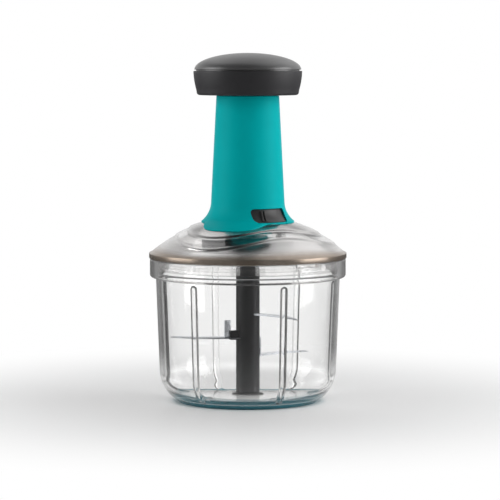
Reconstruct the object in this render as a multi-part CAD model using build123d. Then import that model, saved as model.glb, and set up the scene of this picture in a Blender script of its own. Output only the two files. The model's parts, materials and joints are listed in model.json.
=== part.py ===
from build123d import *
import math
import os

# Push-down food chopper, in millimetres.
# The origin is under the middle of the base ring, +Z is up and the front faces -Y.
# Bearings are degrees from the front (-Y), growing towards +X.

# Bowl
BOWL_FOOT_Z = 1.0
BOWL_FOOT_RADIUS = 45.2
BOWL_FLOOR = 2.8
BOWL_WALL = 2.9
BOWL_CORNER_TOP_Z = 20.0
BOWL_CORNER_TOP_RADIUS = 56.0
BOWL_FLARE = 2.2
BOWL_NECK_Z = 79.0
BOWL_INNER_CORNER = 13.0
COLLAR_STEP = 3.8
COLLAR_WALL = 3.2
COLLAR_HEIGHT = 11.7
COLLAR_CORNER = 3.0
RIB_COUNT = 6
RIB_FIRST_BEARING = 23.5
RIB_RADIUS = 2.0
RIB_HEAD_BELOW_NECK = 4.0

# Base ring under the bowl
BASE_RING_INSET = 0.8
BASE_RING_WIDTH = 10.4
BASE_RING_BED = 1.2
BASE_RING_CHAMFER = 0.5

# Clearances that several pieces share
RUNNING_FIT = 0.05
FREE_GAP = 0.3

# Pin in the bowl floor, and the blade column that turns on it
PIN_RADIUS = 2.5
PIN_SINK = 2.0
PIN_HEIGHT = 16.0
PIN_TIP = 0.8
COLUMN_RADIUS = 7.5
FOOT_FLANGE_RADIUS = 10.0
FOOT_FLANGE_HEIGHT = 2.0
FOOT_FLANGE_SLOPE = 1.0
BUSH_WALL = 1.8
BUSH_LENGTH = 12.0

# Blades
BLADE_THICKNESS = 1.0
BLADE_TIP_GAP = 1.1
BLADE_ROOT_WIDTH = 7.0
BLADE_SWEEP_ANGLE = 23.5
BLADE_EDGE_BULGE = 6.5
BLADE_BACK_BULGE = 2.5
BLADE_ROOT_DEPTH = 2.0
TAB_FROM_COLUMN = 6.5
TAB_WIDTH = 4.2
TAB_HEIGHT = 11.6
LUG_WIDTH = 4.4
LUG_RISE = 4.9
LUG_DROP = 0.9
LUG_OVER_TAB = 0.6
UPPER_BLADE_BEARING = 62.0
UPPER_BLADE_Z = 55.0
MIDDLE_BLADE_BEARING = 293.5
MIDDLE_BLADE_Z = 40.2
LOWER_BLADE_BEARING = 150.0
LOWER_BLADE_Z = 27.6
BOTTOM_BLADE_BEARING = 197.0
BOTTOM_BLADE_Z = 9.0
BOTTOM_BLADE_SHORTER = 7.0
BOTTOM_BENT_LENGTH = 14.0
BOTTOM_TIP_RISE = 9.0

# Plunger tube, which the pieces round it take their place from
TUBE_RADIUS = 16.0
TUBE_WALL = 2.0
TUBE_RISE = 8.3
TUBE_FLANGE_WIDTH = 6.0
TUBE_FLANGE = 2.0
STROKE = 50.0

# Screws that clamp drive cover, lid and housing together
SCREW_COUNT = 3
SCREW_FIRST_BEARING = 95.0
SCREW_RADIUS = 1.4
SCREW_HEAD_RADIUS = 2.8
SCREW_HEAD_HEIGHT = 1.6
SCREW_BITE = 7.3
LID_BOSS_RADIUS = 3.2
HOUSING_BOSS_RADIUS = 2.6
HOUSING_BOSS_HEIGHT = 13.5
HOUSING_BOSS_GAP = 2.2

# Lid
LID_OVERHANG = 0.5
LID_RIM_HEIGHT = 3.5
LID_RIM_LEDGE = 1.0
LID_WALL = 2.4
LID_SKIRT_GAP = 1.0
LID_SKIRT_WALL = 2.4
LID_SKIRT_DEPTH = 7.2
LID_CROWN = 17.2
LID_TOP_LEDGE = 5.6
LID_SEAT_LEDGE = 0.2
LID_BULGE = 1.3
LOBES = 3
LOBE_POINT_COUNT = 36
TIER_STEP = 0.8
TIER_PEAK = 90.0
OUTER_TIER_INSET = 11.8
OUTER_TIER_WAVE = 5.1
INNER_TIER_LEDGE = 6.2
INNER_TIER_WAVE = 4.4
LID_BORE_GAP = 1.85
GASKET_HEIGHT = 2.2
GASKET_SEAT = 0.9
GASKET_DROP = 4.8
KEY_BEARING = 39.0
KEY_SPAN = 18.0
KEY_DEPTH = 2.2
KEY_WALL = 1.6
KEY_GAP = 0.4

# Drive cover under the lid
COVER_RADIUS = 29.0
COVER_RISE = 0.5
COVER_HEIGHT = 9.5
COVER_FLOOR = 2.5
COVER_WALL = 2.0
COVER_BOSS_RADIUS = 8.0
COVER_BOSS_HEIGHT = 6.0

# Handle housing
HOUSING_HEIGHT = 81.8
HOUSING_FLARE_HEIGHT = 15.3
HOUSING_WAIST_GAP = 2.4
HOUSING_FOOT_GAP = 1.2
HOUSING_WALL = 2.6
HOUSING_FOOT_WALL = 2.2
HOUSING_FLARE = 5.2
FOOT_LIP = 0.7
FOOT_LOBE_BEARINGS = (339.0, 200.0)
FOOT_LOBE_REACH = 9.6
FOOT_LOBE_START = 0.68
FOOT_POINT_COUNT = 72
GUIDE_LENGTH = 12.5
GUIDE_WALL = 2.25
GUIDE_RIM = 1.5

# Lock slider and its window
WINDOW_BEARING = 35.5
WINDOW_WIDTH = 25.4
WINDOW_RISE = 2.9
WINDOW_HEIGHT = 8.5
WINDOW_CORNER = 2.5
LOCK_TRAVEL = 18.0
LOCK_PLATE_START = -12.0
LOCK_PLATE_END = 64.0
LOCK_PLATE_INSET = 1.2
LOCK_PLATE_THICKNESS = 1.5
LOCK_RING_HEIGHT = 1.8
LOCK_RING_GAP = 0.9
LOCK_RING_RIM = 2.0
LOCK_RING_BAND = 2.1
LOCK_SLOT_GAP = 0.5
LOCK_POCKET_GAP = 0.25
LOCK_WEB_HEIGHT = 2.1
CATCH_BEARING = 155.0
CATCH_SPAN = 14.0
CATCH_ARM = 1.7
CATCH_GAP = 0.4
CATCH_RISE = 11.5
CATCH_HEIGHT = 2.0
CATCH_NOTCH_DEPTH = 1.0
THUMB_RIDGES = (20.0, 24.5)
RIDGE_SPAN = 2.2
RIDGE_PROUD = 0.2
RIDGE_MARGIN = 1.0

# Knob on top of the plunger tube
KNOB_GAP = 0.3
KNOB_BOTTOM_RADIUS = 32.0
KNOB_FLARE = 2.3
KNOB_HEIGHT = 15.2
KNOB_BULGE = 0.5
KNOB_CORNER = 1.8
KNOB_WALL = 2.5
SEAM = 0.8
CAP_INSET = 0.6
CAP_HEIGHT = 10.5
CAP_WALL = 2.2
CAP_SKIRT_DEPTH = 4.5
CAP_SKIRT_WALL = 1.5
KNOB_SCREW_LENGTH = 4.2

# Nut and clutch at the foot of the plunger tube
CARRIER_HEIGHT = 16.0
CARRIER_FLOOR = 2.5
CARRIER_BORE = 10.5
NUT_THICKNESS = 3.5
NUT_GAP = 0.3
DOG_COUNT = 4
DOG_WIDTH = 2.0
DOG_HEIGHT = 1.4
DOG_LENGTH = 3.0
NUT_CAP_HEIGHT = 2.2
CLUTCH_WIRE = 0.4
CLUTCH_TURNS = 3

# Twisted drive bar and the spindle below it
BAR_WIDTH = 7.0
BAR_THICKNESS = 1.6
BAR_GAP = 0.15
BAR_LEAD = 32.0
BAR_BEYOND_STROKE = 30.0
BAR_TANG = 9.0
BAR_HOLE_GAP = 0.7
SPINDLE_RADIUS = 5.0
SPINDLE_FLANGE_RADIUS = 8.5
SPINDLE_FLANGE_HEIGHT = 4.7
SPINDLE_ABOVE_CLIP = 2.9
HEX_ACROSS_FLATS = 8.0
HEX_GAP = 0.2
HEX_LENGTH = 16.0
HEX_END_GAP = 0.5
CLIP_THICKNESS = 0.8
CLIP_RADIUS = 7.5
CLIP_GROOVE = 0.6
WASHER_THICKNESS = 0.9
CROSS_PIN_RADIUS = 0.9
CROSS_PIN_BELOW_TOP = 1.8
CROSS_PIN_INSET = 0.3

# Return spring round the bar
SPRING_RADIUS = 12.0
SPRING_WIRE = 0.65
SPRING_TURNS = 8

# Radii that follow from the sizes above
BOWL_NECK_RADIUS = BOWL_CORNER_TOP_RADIUS + BOWL_FLARE
COLLAR_RADIUS = BOWL_NECK_RADIUS + COLLAR_STEP
COLLAR_INNER = COLLAR_RADIUS - COLLAR_WALL
BASE_RING_OUTER = BOWL_FOOT_RADIUS - BASE_RING_INSET
BASE_RING_INNER = BASE_RING_OUTER - BASE_RING_WIDTH
BLADE_REACH = BOWL_CORNER_TOP_RADIUS - BOWL_WALL - RIB_RADIUS - BLADE_TIP_GAP
BOTTOM_REACH = BLADE_REACH - BOTTOM_BLADE_SHORTER
TAB_RADIUS = COLUMN_RADIUS + TAB_FROM_COLUMN
GUIDE_OUTER = TUBE_RADIUS + RUNNING_FIT + GUIDE_WALL
HOUSING_TOP_RADIUS = GUIDE_OUTER + GUIDE_RIM
SCREW_CIRCLE = TUBE_RADIUS + HOUSING_BOSS_GAP + HOUSING_BOSS_RADIUS
HOUSING_WAIST_RADIUS = SCREW_CIRCLE + HOUSING_WAIST_GAP
LOCK_RING_OUTER = SCREW_CIRCLE + HOUSING_BOSS_RADIUS + LOCK_SLOT_GAP + LOCK_RING_BAND
HOUSING_FOOT_INNER = LOCK_RING_OUTER + HOUSING_FOOT_GAP
HOUSING_FOOT_RADIUS = HOUSING_FOOT_INNER + HOUSING_FOOT_WALL
HOUSING_FLARE_RADIUS = HOUSING_FOOT_RADIUS + HOUSING_FLARE
LID_RIM_RADIUS = COLLAR_RADIUS + LID_OVERHANG
LID_TOP_RADIUS = HOUSING_FOOT_RADIUS + LID_TOP_LEDGE
LID_SEAT_RADIUS = HOUSING_FOOT_INNER - LID_SEAT_LEDGE
OUTER_TIER = (LID_RIM_RADIUS - OUTER_TIER_INSET, OUTER_TIER_WAVE, TIER_PEAK)
INNER_TIER = (LID_TOP_RADIUS + INNER_TIER_LEDGE, INNER_TIER_WAVE, TIER_PEAK)
LID_BORE_RADIUS = SPRING_RADIUS + SPRING_WIRE + LID_BORE_GAP
SKIRT_RADIUS = COLLAR_INNER - LID_SKIRT_GAP
TUBE_FLANGE_RADIUS = TUBE_RADIUS + TUBE_FLANGE_WIDTH
KNOB_SCREW_CIRCLE = TUBE_RADIUS + TUBE_FLANGE_WIDTH / 2
KNOB_TOP_RADIUS = KNOB_BOTTOM_RADIUS + KNOB_FLARE
CAP_RADIUS = KNOB_TOP_RADIUS - CAP_INSET
BAR_HOLE_RADIUS = math.hypot(BAR_WIDTH, BAR_THICKNESS) / 2 + BAR_HOLE_GAP

# Heights that follow from the sizes above
FLOOR_TOP_Z = BOWL_FOOT_Z + BOWL_FLOOR
COLUMN_BOTTOM_Z = FLOOR_TOP_Z + FREE_GAP
PIN_TOP_Z = FLOOR_TOP_Z + PIN_HEIGHT
SHOULDER_Z = BOWL_NECK_Z + COLLAR_CORNER
COLLAR_TOP_Z = BOWL_NECK_Z + COLLAR_HEIGHT
LID_RIM_Z = COLLAR_TOP_Z + FREE_GAP
LID_RIM_TOP_Z = LID_RIM_Z + LID_RIM_HEIGHT
LID_TOP_Z = LID_RIM_TOP_Z + LID_CROWN
SKIRT_BOTTOM_Z = LID_RIM_Z - LID_SKIRT_DEPTH
COVER_BOTTOM_Z = LID_RIM_TOP_Z + COVER_RISE
COVER_FLOOR_Z = COVER_BOTTOM_Z + COVER_FLOOR
COVER_TOP_Z = COVER_BOTTOM_Z + COVER_HEIGHT
COVER_BOSS_TOP_Z = COVER_BOTTOM_Z + COVER_BOSS_HEIGHT
SCREW_TOP_Z = LID_TOP_Z + SCREW_BITE
SPINDLE_FLANGE_TOP_Z = COVER_BOTTOM_Z - FREE_GAP
SPINDLE_FLANGE_Z = SPINDLE_FLANGE_TOP_Z - SPINDLE_FLANGE_HEIGHT
HEX_BOTTOM_Z = SPINDLE_FLANGE_Z - HEX_LENGTH
COLUMN_TOP_Z = SPINDLE_FLANGE_Z - FREE_GAP
WASHER_Z = COVER_BOSS_TOP_Z + FREE_GAP / 2
CLIP_Z = WASHER_Z + WASHER_THICKNESS + FREE_GAP / 2
SPINDLE_TOP_Z = CLIP_Z + CLIP_THICKNESS + SPINDLE_ABOVE_CLIP
BAR_Z = SPINDLE_TOP_Z - BAR_TANG
BAR_TWISTED = STROKE + BAR_BEYOND_STROKE
HOUSING_TOP_Z = LID_TOP_Z + HOUSING_HEIGHT
HOUSING_WAIST_Z = LID_TOP_Z + HOUSING_FLARE_HEIGHT
GUIDE_Z = HOUSING_TOP_Z - GUIDE_LENGTH
TUBE_BOTTOM_Z = LID_TOP_Z + TUBE_RISE
KNOB_Z = HOUSING_TOP_Z + KNOB_GAP
KNOB_FLOOR_Z = KNOB_Z + KNOB_WALL
KNOB_TOP_Z = KNOB_Z + KNOB_HEIGHT
CAP_Z = KNOB_TOP_Z + SEAM
TUBE_TOP_Z = KNOB_FLOOR_Z + TUBE_FLANGE
LOCK_Z = LID_TOP_Z + FREE_GAP
LOCK_RING_TOP_Z = LOCK_Z + LOCK_RING_HEIGHT
CATCH_TOP_Z = LOCK_Z + CATCH_RISE
WINDOW_BOTTOM_Z = LID_TOP_Z + WINDOW_RISE
PLATE_BOTTOM_Z = WINDOW_BOTTOM_Z + FREE_GAP
PLATE_TOP_Z = WINDOW_BOTTOM_Z + WINDOW_HEIGHT - FREE_GAP
CARRIER_Z = TUBE_BOTTOM_Z - TUBE_WALL
CARRIER_TOP_Z = CARRIER_Z + CARRIER_HEIGHT
CARRIER_FLOOR_Z = CARRIER_Z + CARRIER_FLOOR
NUT_Z = CARRIER_FLOOR_Z + NUT_GAP
NUT_CAP_Z = CARRIER_TOP_Z - NUT_CAP_HEIGHT

STANDING = (Align.CENTER, Align.CENTER, Align.MIN)


def turned(*edges, sweep_angle=360.0):
    """Turn a closed half section, drawn as radius and height, about the Z axis."""
    return revolve(Plane.XZ * make_face(list(edges)), Axis.Z, sweep_angle)


def turned_outline(points, sweep_angle=360.0):
    """Turn a straight-sided half section about the Z axis."""
    return turned(Polyline(*points, close=True), sweep_angle=sweep_angle)


def ring(inner, outer, bottom, top):
    """A plain ring or, with no inner radius, a disc."""
    solid = Cylinder(outer, top - bottom, align=STANDING)
    if inner > 0:
        solid -= Cylinder(inner, top - bottom, align=STANDING)
    return Pos(0, 0, bottom) * solid


def facing(bearing):
    """Turn something built along +X so that it points along a bearing."""
    return Rot(0, 0, bearing - 90.0)


def around(count, first_bearing):
    """Evenly spaced bearings."""
    return [first_bearing + index * 360.0 / count for index in range(count)]


def wavy_prism(radius_at, count, bottom, top):
    """An upright prism whose radius changes as it goes round."""
    points = []
    for bearing in around(count, 0):
        radius = radius_at(bearing)
        angle = math.radians(bearing - 90.0)
        points.append((radius * math.cos(angle), radius * math.sin(angle)))
    outline = make_face(Spline(*points, periodic=True))
    return Pos(0, 0, bottom) * extrude(outline, top - bottom)


def lobed_prism(law, bottom, top):
    """A prism with even waves round its edge."""
    mean, depth, peak = law

    def radius_at(bearing):
        return mean + depth * math.cos(math.radians(LOBES * (bearing - peak)))

    return wavy_prism(radius_at, LOBE_POINT_COUNT, bottom, top)


def foot_radius(bearing):
    """Radius of the housing's foot, which has two broad lobes that reach down the lid."""
    nearest = max(math.cos(math.radians(bearing - lobe)) for lobe in FOOT_LOBE_BEARINGS)
    share = max(0.0, (nearest - FOOT_LOBE_START) / (1 - FOOT_LOBE_START))
    return HOUSING_FOOT_RADIUS + FOOT_LOBE_REACH * share * share * (3 - 2 * share)


def coil(radius, wire, turns, bottom, top):
    """A compression spring that fits between two heights."""
    height = top - bottom - 2 * wire
    path = Pos(0, 0, bottom + wire) * Helix(height / turns, height, radius)
    section = Plane(path @ 0, z_dir=path % 0) * Circle(wire)
    return sweep(section, path=path)


def bowl_inner_radius(height):
    """Inside radius of the straight part of the bowl wall."""
    rise = (height - BOWL_CORNER_TOP_Z) / (BOWL_NECK_Z - BOWL_CORNER_TOP_Z)
    return BOWL_CORNER_TOP_RADIUS + rise * (BOWL_NECK_RADIUS - BOWL_CORNER_TOP_RADIUS) - BOWL_WALL


def bowl_inner_corner():
    """Arc that joins the inside of the wall to the floor."""
    wall_end = (bowl_inner_radius(FLOOR_TOP_Z + BOWL_INNER_CORNER), FLOOR_TOP_Z + BOWL_INNER_CORNER)
    floor_end = (wall_end[0] - BOWL_INNER_CORNER, FLOOR_TOP_Z)
    middle = (
        floor_end[0] + BOWL_INNER_CORNER * math.sqrt(0.5),
        wall_end[1] - BOWL_INNER_CORNER * math.sqrt(0.5),
    )
    return ThreePointArc(wall_end, middle, floor_end), wall_end, floor_end


def bowl_rib(bearing):
    """Half-round rib on the inside of the wall, down round the corner to the floor."""
    corner, wall_end, floor_end = bowl_inner_corner()
    head_z = BOWL_NECK_Z - RIB_HEAD_BELOW_NECK
    head = (bowl_inner_radius(head_z), head_z)
    path = Plane.XZ * Wire([Line(head, wall_end), corner])
    rib = sweep(Plane(path @ 0, z_dir=path % 0) * Circle(RIB_RADIUS), path=path, transition=Transition.ROUND)
    for radius, height in (head, floor_end):
        rib += Pos(radius, 0, height) * Sphere(RIB_RADIUS)
    return facing(bearing) * rib


def make_bowl():
    """Clear bowl with a stepped collar for the lid."""
    foot = (BOWL_FOOT_RADIUS, BOWL_FOOT_Z)
    corner_top = (BOWL_CORNER_TOP_RADIUS, BOWL_CORNER_TOP_Z)
    neck = (BOWL_NECK_RADIUS, BOWL_NECK_Z)
    collar_low = (COLLAR_RADIUS - COLLAR_CORNER, BOWL_NECK_Z)
    collar_side = (COLLAR_RADIUS, BOWL_NECK_Z + COLLAR_CORNER)
    collar_top = (COLLAR_RADIUS, COLLAR_TOP_Z)
    corner_arc = TangentArc(corner_top, foot, tangent=(0, -1))
    collar_arc = TangentArc(collar_low, collar_side, tangent=(1, 0))
    body = turned(
        corner_arc,
        Line(corner_top, neck),
        Line(neck, collar_low),
        collar_arc,
        Polyline(collar_side, collar_top, (0, COLLAR_TOP_Z), (0, BOWL_FOOT_Z), foot),
    )
    corner, wall_end, floor_end = bowl_inner_corner()
    inner_neck = (bowl_inner_radius(SHOULDER_Z), SHOULDER_Z)
    inside = turned(
        corner,
        Line(wall_end, inner_neck),
        Polyline(
            inner_neck,
            (COLLAR_INNER, SHOULDER_Z),
            (COLLAR_INNER, COLLAR_TOP_Z),
            (0, COLLAR_TOP_Z),
            (0, FLOOR_TOP_Z),
            floor_end,
        ),
    )
    ribs = [bowl_rib(bearing) & body for bearing in around(RIB_COUNT, RIB_FIRST_BEARING)]
    body -= inside
    for rib in ribs:
        body += rib
    body -= ring(BASE_RING_INNER, BASE_RING_OUTER, 0, BOWL_FOOT_Z + BASE_RING_BED)
    body -= ring(0, PIN_RADIUS, FLOOR_TOP_Z - PIN_SINK, FLOOR_TOP_Z)
    return body - lid_key(KEY_GAP)


def make_base_ring():
    """Soft non-slip ring pressed into the underside of the bowl."""
    top = BOWL_FOOT_Z + BASE_RING_BED
    return turned_outline([
        (BASE_RING_INNER + BASE_RING_CHAMFER, 0),
        (BASE_RING_OUTER - BASE_RING_CHAMFER, 0),
        (BASE_RING_OUTER, BASE_RING_CHAMFER),
        (BASE_RING_OUTER, top),
        (BASE_RING_INNER, top),
        (BASE_RING_INNER, BASE_RING_CHAMFER),
    ])


def make_pivot_pin():
    """Steel pin that the blade column stands on."""
    return turned_outline([
        (0, FLOOR_TOP_Z - PIN_SINK),
        (PIN_RADIUS, FLOOR_TOP_Z - PIN_SINK),
        (PIN_RADIUS, PIN_TOP_Z - PIN_TIP),
        (PIN_RADIUS - PIN_TIP, PIN_TOP_Z),
        (0, PIN_TOP_Z),
    ])


def blade_tip(reach):
    """Tip of a blade whose root points along +X."""
    angle = math.radians(BLADE_SWEEP_ANGLE)
    return reach * math.cos(angle), -reach * math.sin(angle)


def bowed(start, end, bulge):
    """Arc from start to end that bows to the left of the way between them."""
    way = Vector(*end) - Vector(*start)
    middle = Vector(*start) + way / 2 + Vector(-way.Y, way.X).normalized() * bulge
    return ThreePointArc(start, middle, end)


def blade_plan(reach):
    """Swept-back blade outline, from its root in the column to its tip."""
    root = COLUMN_RADIUS - BLADE_ROOT_DEPTH
    half = BLADE_ROOT_WIDTH / 2
    tip = blade_tip(reach)
    back = bowed((root, -half), tip, BLADE_BACK_BULGE)
    edge = bowed((root, half), tip, BLADE_EDGE_BULGE)
    return make_face([back, edge, Line((root, half), (root, -half))])


def make_blade(bearing, height):
    """Flat swept-back blade."""
    return Pos(0, 0, height) * facing(bearing) * extrude(blade_plan(BLADE_REACH), BLADE_THICKNESS)


def make_tabbed_blade(bearing, height):
    """Flat blade with an upright tab near its root."""
    tab = Pos(TAB_RADIUS, 0, height) * Box(TAB_WIDTH, BLADE_THICKNESS, TAB_HEIGHT, align=STANDING)
    return make_blade(bearing, height) + facing(bearing) * tab


def blade_lug(bearing, height):
    """Lug of the column that grips the root of a tabbed blade."""
    length = TAB_RADIUS - TAB_WIDTH / 2 + LUG_OVER_TAB
    lug = Box(length, LUG_WIDTH, LUG_RISE + LUG_DROP, align=(Align.MIN, Align.CENTER, Align.MIN))
    return Pos(0, 0, height - LUG_DROP) * facing(bearing) * lug


def make_bottom_blade():
    """Lowest blade, flat near the floor with its tip bent upwards."""
    length, _ = blade_tip(BOTTOM_REACH)
    bend = length - BOTTOM_BENT_LENGTH
    side = [
        (0, 0),
        (bend, 0),
        (length, BOTTOM_TIP_RISE),
        (length, BOTTOM_TIP_RISE + BLADE_THICKNESS),
        (bend, BLADE_THICKNESS),
        (0, BLADE_THICKNESS),
    ]
    strip = extrude(Plane.XZ * make_face(Polyline(*side, close=True)), BOTTOM_REACH, both=True)
    plan = extrude(blade_plan(BOTTOM_REACH), BOTTOM_TIP_RISE + 2 * BLADE_THICKNESS)
    return Pos(0, 0, BOTTOM_BLADE_Z) * facing(BOTTOM_BLADE_BEARING) * (strip & plan)


def make_blade_column(blades):
    """Hollow-footed column with lugs for two blades and a hexagonal socket in its top."""
    flange_z = COLUMN_BOTTOM_Z + FOOT_FLANGE_HEIGHT
    column = turned_outline([
        (0, COLUMN_BOTTOM_Z),
        (FOOT_FLANGE_RADIUS, COLUMN_BOTTOM_Z),
        (FOOT_FLANGE_RADIUS, flange_z - FOOT_FLANGE_SLOPE),
        (COLUMN_RADIUS, flange_z),
        (COLUMN_RADIUS, COLUMN_TOP_Z),
        (0, COLUMN_TOP_Z),
    ])
    bush_outer = PIN_RADIUS + RUNNING_FIT + BUSH_WALL
    column -= ring(0, bush_outer, COLUMN_BOTTOM_Z, COLUMN_BOTTOM_Z + BUSH_LENGTH)
    column -= ring(0, PIN_RADIUS + 2 * FREE_GAP, COLUMN_BOTTOM_Z, PIN_TOP_Z + FREE_GAP)
    socket = RegularPolygon((HEX_ACROSS_FLATS / 2 + HEX_GAP) / math.cos(math.pi / 6), 6)
    socket_z = HEX_BOTTOM_Z - HEX_END_GAP
    column -= Pos(0, 0, socket_z) * extrude(socket, COLUMN_TOP_Z - socket_z)
    column += blade_lug(MIDDLE_BLADE_BEARING, MIDDLE_BLADE_Z)
    column += blade_lug(LOWER_BLADE_BEARING, LOWER_BLADE_Z)
    for blade in blades:
        column -= blade
    return column


def make_foot_bush():
    """Bearing bush between the column and the pivot pin."""
    inner = PIN_RADIUS + RUNNING_FIT
    return ring(inner, inner + BUSH_WALL, COLUMN_BOTTOM_Z, COLUMN_BOTTOM_Z + BUSH_LENGTH)


def lid_slope_height(radius):
    """Height of the lid's bulging slope at a radius, without its tiers."""
    low = (LID_RIM_RADIUS - LID_RIM_LEDGE, LID_RIM_TOP_Z)
    high = (LID_TOP_RADIUS, LID_TOP_Z - 2 * TIER_STEP)
    run = math.dist(low, high)
    bend = (run * run / 4 + LID_BULGE * LID_BULGE) / (2 * LID_BULGE)
    centre_radius = (low[0] + high[0]) / 2 + (LID_BULGE - bend) * (high[1] - low[1]) / run
    centre_z = (low[1] + high[1]) / 2 + (LID_BULGE - bend) * (low[0] - high[0]) / run
    return centre_z + math.sqrt(bend * bend - (radius - centre_radius) ** 2)


def lid_crown(drop, floor_z, end_radius):
    """Solid under the sloping top, which ends at a radius round a flat middle."""
    low_radius = LID_RIM_RADIUS - LID_RIM_LEDGE
    middle_radius = (low_radius + end_radius) / 2
    low, middle, end = [
        (radius, lid_slope_height(radius) - drop) for radius in (low_radius, middle_radius, end_radius)
    ]
    flat_z = LID_TOP_Z - 2 * TIER_STEP - drop
    corner = [] if end_radius == LID_TOP_RADIUS else [(end_radius, flat_z)]
    return turned(
        ThreePointArc(low, middle, end),
        Polyline(end, *corner, (0, flat_z), (0, floor_z), (low[0], floor_z), low),
    )


def lid_key(gap):
    """Block on the rim that stops the lid turning in the collar."""
    inner = SKIRT_RADIUS - gap
    outer = COLLAR_INNER + KEY_WALL + gap
    spread = math.degrees(gap / COLLAR_INNER)
    section = [
        (inner, LID_RIM_Z - KEY_DEPTH - gap),
        (outer, LID_RIM_Z - KEY_DEPTH - gap),
        (outer, LID_RIM_Z + gap),
        (inner, LID_RIM_Z + gap),
    ]
    block = turned_outline(section, sweep_angle=KEY_SPAN + 2 * spread)
    return facing(KEY_BEARING - KEY_SPAN / 2 - spread) * block


def make_lid():
    """Clear lid with wavy tiers, a skirt for the gasket and bosses for the screws."""
    crown = lid_crown(0, SKIRT_BOTTOM_Z, LID_SEAT_RADIUS)
    lid = crown
    for index, law in enumerate((OUTER_TIER, INNER_TIER), start=1):
        lid += (Pos(0, 0, index * TIER_STEP) * crown) & lobed_prism(law, LID_RIM_TOP_Z, HOUSING_WAIST_Z)
    lid += ring(0, LID_RIM_RADIUS, LID_RIM_Z, LID_RIM_TOP_Z)
    lid -= ring(SKIRT_RADIUS, 2 * LID_RIM_RADIUS, SKIRT_BOTTOM_Z, LID_RIM_Z)
    hollow = lid_crown(LID_WALL, SKIRT_BOTTOM_Z, LID_TOP_RADIUS)
    skirt_inner = SKIRT_RADIUS - LID_SKIRT_WALL
    lid -= hollow & ring(0, skirt_inner, SKIRT_BOTTOM_Z, LID_TOP_Z)
    boss = Pos(SCREW_CIRCLE, 0, 0) * ring(0, LID_BOSS_RADIUS, COVER_FLOOR_Z, LID_TOP_Z)
    for bearing in around(SCREW_COUNT, SCREW_FIRST_BEARING):
        lid += facing(bearing) * boss
    lid -= ring(0, LID_BORE_RADIUS, SKIRT_BOTTOM_Z, HOUSING_WAIST_Z)
    for screw in screw_shanks():
        lid -= screw
    lid -= gasket_ring()
    return lid + lid_key(0)


def gasket_ring():
    """Ring seated in the skirt, just clear of the collar."""
    top = LID_RIM_Z - GASKET_DROP + GASKET_HEIGHT
    return ring(SKIRT_RADIUS - GASKET_SEAT, COLLAR_INNER - FREE_GAP, top - GASKET_HEIGHT, top)


def screw_shanks():
    """The shanks of the three long screws, one solid each."""
    shank = Pos(SCREW_CIRCLE, 0, 0) * ring(0, SCREW_RADIUS, COVER_BOTTOM_Z, SCREW_TOP_Z)
    return [facing(bearing) * shank for bearing in around(SCREW_COUNT, SCREW_FIRST_BEARING)]


def make_cover_screws():
    """Long screws from below the drive cover up into the handle housing."""
    head = ring(0, SCREW_HEAD_RADIUS, COVER_BOTTOM_Z - SCREW_HEAD_HEIGHT, COVER_BOTTOM_Z)
    return headed_screws(screw_shanks(), Pos(SCREW_CIRCLE, 0, 0) * head, SCREW_FIRST_BEARING)


def headed_screws(shanks, head, first_bearing):
    """Screws of one group, each a shank with its head."""
    bearings = around(SCREW_COUNT, first_bearing)
    return Compound(children=[shank + facing(bearing) * head for shank, bearing in zip(shanks, bearings)])


def make_drive_cover():
    """Dark cup under the lid that carries the spindle and the return spring."""
    inner = COVER_RADIUS - COVER_WALL
    cover = ring(0, COVER_RADIUS, COVER_BOTTOM_Z, COVER_TOP_Z)
    cover -= ring(COVER_BOSS_RADIUS, inner, COVER_FLOOR_Z, COVER_TOP_Z)
    cover -= ring(0, inner, COVER_BOSS_TOP_Z, COVER_TOP_Z)
    cover -= ring(0, SPINDLE_RADIUS + RUNNING_FIT, COVER_BOTTOM_Z, COVER_BOSS_TOP_Z)
    for screw in screw_shanks():
        cover -= screw
    return cover


def make_thrust_washer():
    """Washer between the cover's boss and the clip."""
    inner = SPINDLE_RADIUS + 2 * RUNNING_FIT
    return ring(inner, COVER_BOSS_RADIUS, WASHER_Z, WASHER_Z + WASHER_THICKNESS)


def housing_shape(inset):
    """Side edges of the housing from top to foot, moved inwards by an inset."""
    top = (HOUSING_TOP_RADIUS - inset, HOUSING_TOP_Z)
    waist = (HOUSING_WAIST_RADIUS - inset, HOUSING_WAIST_Z)
    foot = (HOUSING_FLARE_RADIUS - inset, LID_TOP_Z)
    return Line(top, waist), TangentArc(waist, foot, tangent=(0, -1)), top, foot


def housing_core(inset):
    """Solid inside the housing's side, moved inwards by an inset."""
    side, flare, top, foot = housing_shape(inset)
    return turned(side, flare, Polyline(foot, (0, LID_TOP_Z), (0, HOUSING_TOP_Z), top))


def wedge(start, end, bottom, top):
    """Sector between two bearings and two heights, wider than the whole object."""
    reach = 2 * LID_RIM_RADIUS
    section = [(0, bottom), (reach, bottom), (reach, top), (0, top)]
    return facing(start) * turned_outline(section, sweep_angle=end - start)


def flare_skin(near, far):
    """Shell that follows the housing's side between two insets."""
    return housing_core(near) - housing_core(far)


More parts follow.
